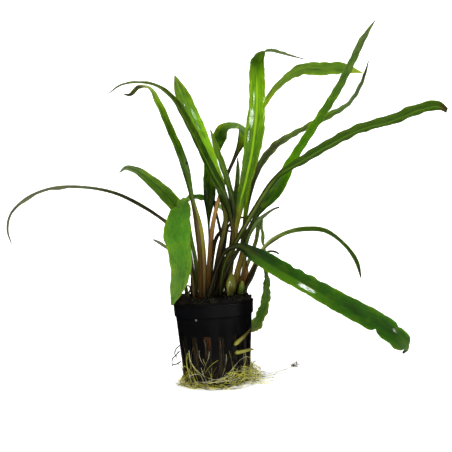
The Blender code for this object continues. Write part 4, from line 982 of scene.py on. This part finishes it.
roots = {
    # how many lie round the foot, lie short in front, spring up in the thick tuft on the right,
    # fill each slot, run down the pot, lie old and dark on the wool, and tangle in the crumb
    "skirt": 135, "frontSkirt": 42, "tuft": 85, "perSlot": 10, "onWall": 44, "onWool": 160, "inCrumb": 16,
    "tuftAngle": -10.0, "tuftSpread": 42.0, "leftAngle": 205.0, "leftSpread": 30.0, "frontAngle": 268.0,
    "width": 6.4, "tuftWidth": 6.5, "height": 3.4, "tuftHeight": 6.5,
    "crumbAt": (52.6, 28.2, 1.1), "points": 22, "seed": 11,
    "patchScale": 170.0, "roughness": 0.42, "glow": 0.3, "glowReach": (1.0, 0.9, 0.3),
    "tones": {  # the skin, and the brown stretches of it
        "pale": ("#dcd8b0", "#5a5228"),
        "yellow": ("#ece858", "#5e5824"),
        "rust": ("#5f4a22", "#2a2414"),
        "dark": ("#1e1810", "#141008"),
    },
    # strands that the eye picks out: on the front of the pot, then those that hang out or run off,
    # as tone, radius and route in mm
    "byHand": [
        ("pale", 0.18, [(-16.5, -17.4, 23.2), (-15.5, -17.6, 15.7), (-11, -20.2, 9.9), (-5.7, -22, 6.6),
            (-0.4, -22.8, 5.1), (5.1, -22.1, 6.1), (9.3, -21, 9.6), (12.2, -19.8, 13.3)]),
        ("pale", 0.12, [(-10, -21.4, 23.5), (-9.9, -21.2, 20.3), (-9.2, -21.3, 17.5), (-7.3, -21.7, 14.1)]),
        ("pale", 0.12, [(-3.5, -23.3, 22.9), (-4.2, -22.9, 19.1), (-6, -22.2, 15.4), (-7.5, -21.6, 10.9),
            (-8.3, -21.1, 7.1)]),
        ("yellow", 0.12, [(1.6, -23.5, 17.3), (-1.6, -23.4, 15.4), (-4.9, -22.9, 12.3),
            (-6.9, -22.4, 9.4)]),
        ("pale", 0.15, [(6.8, -22.8, 20.4), (6.7, -22.5, 16.6), (5.6, -22.5, 12.3), (3.7, -22.5, 7.1)]),
        ("dark", 0.14, [(11, -21.2, 26.1), (10.4, -21, 21.1), (9.6, -21, 16.8), (8.1, -21.2, 11.9)]),
        ("rust", 0.15, [(9.2, -21.8, 15.1), (10.8, -20.9, 12.6), (13, -19.3, 9.4), (15.9, -16.9, 4.9)]),
        ("pale", 0.14, [(22, -9.2, 15.1), (19.1, -14.6, 16.9), (15.5, -18.2, 15.9), (12.5, -20.2, 13.4),
            (8, -22, 9.3), (4.8, -22.8, 7.5)]),
        ("pale", 0.16, [(-17.3, -15.7, 6.5), (-13.3, -19.5, 8.6), (-9.5, -21.7, 7.9), (-8.4, -22.3, 4.8),
            (-7.7, -22.9, 1.7), (-8.8, -25.1, 0.4)]),
        ("pale", 0.15, [(-9.2, -22.3, 13.1), (-8.2, -22.3, 8.7), (-6.5, -22.7, 4.9), (-5.5, -23.4, 1.8),
            (-3.1, -25.9, 0.4)]),
        ("rust", 0.12, [(0.7, -23.5, 13.4), (-1.3, -23.3, 10.4), (-2.7, -22.9, 6.6), (-4.2, -22.5, 2.9)]),
        ("pale", 0.14, [(18.7, -14.6, 20.1), (19, -13.4, 14.8), (16.8, -15.5, 9.7), (15.4, -16.9, 6.2)]),
        ("yellow", 0.15, [(-20.4, -12.1, 12.8), (-17.7, -15.6, 11.5), (-14.7, -18.1, 7.5),
            (-13, -19.2, 3.2), (-11.3, -22.7, 0.4)]),
        ("dark", 0.42, [(-23.4, -2, 20.5), (-26, -3, 18), (-28.2, -4, 16), (-28.4, -4.5, 11.5)]),
        ("dark", 0.42, [(-23, -4.5, 24.5), (-25, -5.5, 23), (-26.3, -6, 20), (-25.6, -6, 17.5)]),
        ("dark", 0.42, [(-22.8, -3, 14), (-25.5, -4, 12.6), (-28, -5, 12.2), (-29, -5.2, 10.8)]),
        ("rust", 0.14, [(-23, 1, 22), (-25.2, 0.5, 19.5), (-25.8, 0, 15), (-24.8, 0, 11)]),
        ("pale", 0.13, [(-22.6, -4, 17.5), (-25.8, -5, 16.6), (-26.2, -6, 12), (-27.5, -6.5, 7)]),
        ("pale", 0.16, [(19, -15, 4), (24.5, -17.5, 2.4), (31, -16, 1.2), (38.5, -12, 0.8),
            (43.5, -10.5, 0.4)]),
        ("pale", 0.15, [(22, -10, 4.5), (28, -8, 2.6), (34, -3, 1.6), (38, 3, 1), (43, 8.5, 1.2)]),
        ("yellow", 0.14, [(20, -14, 2.5), (26, -18.5, 1.2), (31.5, -21, 0.6), (35.5, -21.5, 0.4)]),
        ("pale", 0.12, [(21, -12, 3), (29, -11.5, 2), (35, -9, 1.6), (38.5, -9.5, 2.4), (41.5, -8, 1.6)]),
        ("yellow", 0.18, [(-22.5, -8, 0.6), (-18.2, -18.3, 0.5), (-12.9, -25.3, 0.6), (-6.7, -24.4, 1)]),
        ("rust", 0.18, [(-15.8, -14.1, 1), (-10.5, -23.2, 0.6), (-3.6, -29.2, 0.4), (3.8, -29, 0.6)]),
        ("yellow", 0.17, [(-8.7, -18.5, 1), (-2.4, -26.3, 0.6), (5.6, -30.3, 0.5), (13, -25.8, 0.6)]),
        ("dark", 0.2, [(-1.2, -21.2, 0.6), (4.4, -27, 0.4), (11.1, -29.8, 0.4), (16.1, -24.3, 0.4)]),
        ("pale", 0.16, [(-11.5, -11.7, 1.5), (-8.7, -21.3, 1), (-5.4, -27.4, 0.4), (-0.5, -25, 0.5)]),
        ("yellow", 0.17, [(2.5, -18.4, 1), (8.1, -26.9, 0.5), (14.2, -29.2, 0.4), (19.9, -22.9, 0.5)]),
        ("rust", 0.17, [(-24, -3.6, 1), (-20.9, -13.5, 0.5), (-15.5, -22.4, 0.5), (-9.8, -26.5, 0.4)]),
        ("yellow", 0.16, [(7.5, -22.3, 1), (3.2, -28.5, 0.5), (-2.4, -24.5, 0.8), (-7.9, -28.2, 0.4)]),
        ("yellow", 0.17, [(18.6, -13.4, 6), (23.4, -2.4, 6), (27.8, 9.5, 5), (32.3, 19.9, 4)]),
        ("rust", 0.16, [(20.9, -14.7, 3), (26.4, -4.2, 3), (32.4, 0.5, 2), (41.2, 14.2, 1)]),
        ("yellow", 0.16, [(20.8, -14.2, 1), (27.8, -14.7, 2), (34.5, -8.2, 1.5), (41.4, -9.6, 0.5)]),
        ("yellow", 0.16, [(18.2, -16.4, 1), (24.3, -20.7, 1), (29.4, -19.6, 0.8), (35.3, -14, 0.5)]),
        ("dark", 0.2, [(20.6, -7.9, 6), (22.9, -4.2, 9), (24.4, -1.7, 11), (25.9, -3.9, 12)]),
        ("yellow", 0.17, [(17.9, -12.8, 4), (22, -8.6, 8), (24.1, -6.4, 10), (26.7, -5.2, 9)]),
        ("rust", 0.16, [(19.6, -15.6, 2), (25.5, -12.3, 3.5), (29.1, -5.2, 5), (33, -2.9, 4)]),
        ("yellow", 0.17, [(-19.2, -9.3, 2), (-22.4, -6.6, 3.5), (-24.6, -1, 5), (-25.8, 0.9, 4)]),
        ("rust", 0.16, [(-19.8, -10.4, 1), (-22.9, -11.9, 1.5), (-24.8, -13.1, 0.6), (-26, -13.2, 0.5)]),
        ("yellow", 0.18, [(-20.5, -7.7, 3), (-21.7, -5.1, 7), (-22.5, -0.6, 10), (-21.7, 5.6, 12)]),
        ("dark", 0.2, [(-20.9, -7, 8), (-23.1, -0.5, 10), (-24.9, 3.2, 11), (-26, 3.5, 10)]),
        ("yellow", 0.17, [(-18.4, -13.5, 1), (-20.8, -10.9, 5), (-20.9, -5.6, 9), (-19.3, -3.2, 11)]),
    ],
    "trail": [
        (24, -6, 3.2), (30, -3.5, 1.8), (36.6, 2.5, 0.9), (39, 9.5, 0.7), (43, 15.5, 0.7), (47.5, 20, 0.8),
        (51.5, 25.5, 1), (54.2, 30, 1.1), (56.2, 30.8, 1), (58, 29.5, 0.7),
    ],
}


def matReach(angle):
    # how far the roots spread from the pot and climb it
    def near(middle, spread):
        away = (math.degrees(angle) - roots[middle] + 180) % 360 - 180
        return math.exp(-((away / roots[spread]) ** 2))

    tuft = near("tuftAngle", "tuftSpread")
    lump = 0.55 * math.sin(5 * angle + 0.6) + 0.45 * math.sin(11 * angle + 2.0)
    width = roots["width"] + roots["tuftWidth"] * tuft + 1.1 * lump
    climb = roots["tuftHeight"] * (tuft + near("leftAngle", "leftSpread"))
    return width, roots["height"] + climb + 1.4 * math.sin(7 * angle + 1.0)


def curvedPoints(route, count):
    # a smooth line through a short hand-made route
    fine = smoothRoute(route)
    picks = np.linspace(0, len(fine) - 1, count).astype(int)
    return fine[picks, :3]


def roundPot(around, away, up):
    return np.stack([away * np.cos(around), away * np.sin(around), up], axis=1)


def lyingStrand(random, angle, share):
    # leaves a slot low on the pot, comes down in a curl and wanders out over the surface
    width, height = matReach(angle)
    t = np.linspace(0.0, 1.0, roots["points"])
    startHeight = height * random.uniform(0.15, 1.0) * share
    reach = width * random.uniform(0.3, 1.12)
    swing = random.normal(0.0, 0.55)
    ripple = random.uniform(0.3, 1.3)
    turnsOver = random.uniform(4.0, 11.0)
    lift = random.uniform(0.1, 1.1)
    around = angle + swing * t + 0.05 * ripple * np.sin(turnsOver * t + angle)
    away = potWall(startHeight) - 0.6 + (reach + 0.6) * t ** random.uniform(0.6, 1.3)
    away = away + 0.7 * ripple * np.sin(1.3 * turnsOver * t + 2.0 * angle) * t
    up = startHeight * (1 - t) ** random.uniform(1.2, 2.6)
    up = up + lift * np.abs(np.sin(0.8 * turnsOver * t)) * (1 - 0.6 * t) + 0.3
    clear = potWall(0.0) + 0.35
    away = np.where((t > 0.12) & (away < clear), clear, away)
    return roundPot(around, away, up)


def slotStrand(random, middle):
    # runs down inside a slot, now and then bowing out of it
    half = 0.42 * pot["slotWidth"]
    t = np.linspace(0.0, 1.0, 14)
    top = random.uniform(18.0, pot["slotTop"] - 1.0)
    foot = random.uniform(pot["slotBottom"] - 0.4, 8.0)
    up = top + (foot - top) * t
    side = random.uniform(-half, half) + 0.7 * wobble(3.0 * t, random.uniform(0, 9))
    bow = random.uniform(-0.9, 0.2) + 0.5 * wobble(4.0 * t, random.uniform(0, 9))
    away = potWall(up) - 0.3 + bow
    return roundPot(middle + np.clip(side, -half, half) / away, away, up)


def wallStrand(random):
    # a fine pale root that has come out of a slot and runs down the wall to the floor
    t = np.linspace(0.0, 1.0, 16)
    top = random.uniform(8.0, 26.0)
    start = random.uniform(0, 2 * math.pi)
    sweep = random.normal(0.0, 0.35)
    ripple = random.uniform(0.02, 0.07) * np.sin(random.uniform(3.0, 7.0) * t + start)
    up = top * (1.0 - t) ** random.uniform(0.8, 1.5) + 0.5
    off = 0.25 + random.uniform(0.2, 1.6) * np.sin(math.pi * t) ** 2
    off = off + random.uniform(0.5, 4.0) * np.maximum(t - 0.85, 0.0) / 0.15
    away = potWall(up) + off - 0.9 * np.maximum(0.12 - t, 0.0) / 0.12
    return roundPot(start + sweep * t + ripple, away, up)


def woolStrand(random):
    # lies across the wool in the mouth of the pot, dipping in and out of it
    t = np.linspace(0.0, 1.0, 10)
    angle = random.uniform(0, 2 * math.pi)
    away = 23.0 * math.sqrt(random.uniform(0.05, 1.0))
    way = random.uniform(0, 2 * math.pi)
    long = random.uniform(4.0, 11.0)
    curl = random.normal(0.0, 2.0) * np.sin(math.pi * t)
    x = away * math.cos(angle) + long * (t - 0.5) * math.cos(way) - curl * math.sin(way)
    y = away * math.sin(angle) + long * (t - 0.5) * math.sin(way) + curl * math.cos(way)
    back = np.minimum(1.0, 24.6 / np.hypot(x, y))
    up = wool["top"] - 0.5 + random.uniform(0.4, 1.7) * np.sin(math.pi * t)
    return np.stack([x * back, y * back, up], axis=1)


def crumbStrand(random):
    # a scrap in the small brown tangle that the long root has caught
    t = np.linspace(0.0, 1.0, 7)[:, None]
    start = np.array(roots["crumbAt"]) + random.normal(0.0, 0.9, 3) * [1.3, 1.3, 0.4]
    way = random.normal(0.0, 1.3, 3) * [1.2, 1.2, 0.6]
    bend = random.normal(0.0, 0.9, 3)
    points = start + way * t + bend * np.sin(math.pi * t)
    points[:, 2] = np.maximum(points[:, 2], 0.35)
    return points


def tuftStrand(random):
    # springs out of the slots on the right in loose curls, finer than the rest
    t = np.linspace(0.0, 1.0, roots["points"])
    angle = math.radians(roots["tuftAngle"] - 12.0 + random.normal(0.0, 22.0))
    startHeight = random.uniform(1.0, 12.0)
    reach = 1.5 + 12.5 * random.uniform(0.0, 1.0) ** 1.5
    endHeight = random.uniform(0.3, 2.0 + 0.8 * reach)
    sway = random.normal(0.0, 0.6)
    first, second, third = random.uniform(0.0, 2 * math.pi, 3)
    curls = random.uniform(3.0, 9.0)
    size = random.uniform(0.6, 2.4)
    ease = np.minimum(1.0, 3.0 * t)
    around = angle + sway * t + 0.09 * size * np.sin(curls * t + first) * ease
    away = potWall(startHeight) - 0.8 + reach * t + size * np.sin(0.9 * curls * t + second) * ease
    up = startHeight + (endHeight - startHeight) * t
    up = up + size * np.sin(0.8 * curls * t + third) * ease
    clear = potWall(0.0) + 1.6
    away = np.where((t > 0.1) & (away < clear), clear, away)
    return roundPot(around, away, np.maximum(up, 0.3))


def drawStrands(name, strands, tones):
    # one curve with a thin bevel for all strands of a tone, made a mesh
    curve = bpy.data.curves.new(name, "CURVE")
    curve.dimensions = "3D"
    curve.bevel_depth = mm
    curve.bevel_resolution = 0
    curve.use_fill_caps = True
    for points, radius in strands:
        spline = curve.splines.new("POLY")
        count = len(points) - 1
        spline.points.add(count)
        for index, (target, point) in enumerate(zip(spline.points, points)):
            target.co = (*[value * mm for value in point], 1.0)
            target.radius = radius * min(1.0, 0.35 + 2.2 * (1 - index / count))
    line = bpy.data.objects.new(name, curve)
    bpy.context.scene.collection.objects.link(line)
    selectOnly(line)
    bpy.ops.object.convert(target="MESH")
    line = bpy.context.object
    line.data.materials.clear()
    line.data.materials.append(rootMaterial(name, *tones))
    return line


def rootMaterial(name, tone, earth):
    # living root: damp thin skin over pale tissue, slightly clear, with brown stretches
    material, tree, shader = startMaterial("root skin " + name)
    place = addNode(tree, "TexCoord", {}, "Object")
    patch = addNode(tree, "TexNoise", {"Vector": place, "Scale": roots["patchScale"], "Detail": 3.0})
    feed(tree, shader, {
        "Base Color": addNode(tree, "ValToRGB", {"Fac": patch}, stops=[(0.35, earth), (0.5, tone)]),
        "Roughness": roots["roughness"],
        "Subsurface Weight": roots["glow"],
        "Subsurface Radius": roots["glowReach"],
        "Subsurface Scale": 0.6 * mm,
    })
    return material


def addRoots():
    random = np.random.default_rng(roots["seed"])
    strands = {tone: [] for tone in roots["tones"]}

    def lay(tones, thin, thick, strand, *given):
        # one strand of a tone drawn from the list
        tone = random.choice(tones) if len(tones) > 1 else tones[0]
        strands[tone].append((strand(random, *given), random.uniform(thin, thick)))

    yellows = ["yellow"] * 3
    for _ in range(roots["skirt"]):
        angle = random.uniform(0, 2 * math.pi)
        if random.random() < 0.2:
            angle = math.radians(roots["leftAngle"] + random.normal(0.0, 0.6 * roots["leftSpread"]))
        lay(["pale", "pale", *yellows, "rust", "rust", "dark"], 0.09, 0.19, lyingStrand, angle, 0.9)
    for _ in range(roots["tuft"]):
        lay([*yellows, "yellow", "pale", "pale"], 0.1, 0.2, tuftStrand)
    for index in range(pot["slots"] * roots["perSlot"]):
        middle = 2 * math.pi * (index // roots["perSlot"] + 0.5) / pot["slots"]
        lay(["rust", "dark", "dark", "dark", "dark"], 0.12, 0.34, slotStrand, middle)
    for _ in range(roots["onWall"]):
        lay(["pale", "yellow", "rust"], 0.07, 0.13, wallStrand)
    for _ in range(roots["onWool"]):
        lay(["dark"], 0.1, 0.2, woolStrand)
    for _ in range(roots["inCrumb"]):
        lay(["rust"], 0.12, 0.26, crumbStrand)
    for _ in range(roots["frontSkirt"]):
        angle = math.radians(roots["frontAngle"] + random.normal(0.0, 30.0))
        lay(["yellow", "yellow", "rust", "rust", "dark"], 0.12, 0.2, lyingStrand, angle, 0.3)
    for tone, radius, route in roots["byHand"]:
        strands[tone].append((curvedPoints(route, 26), radius))
    strands["pale"].append((curvedPoints(roots["trail"], 46), 0.22))
    selectOnly(*[drawStrands(tone + "Roots", strands[tone], tones) for tone, tones in roots["tones"].items()])
    bpy.ops.object.join()
    return nameLast("looseRoots")


looseRoots = addRoots()
finishPiece(looseRoots, None, "pale_root", "root_mat", "trailing_root")
print("roots laid, triangles about", 2 * len(looseRoots.data.polygons))
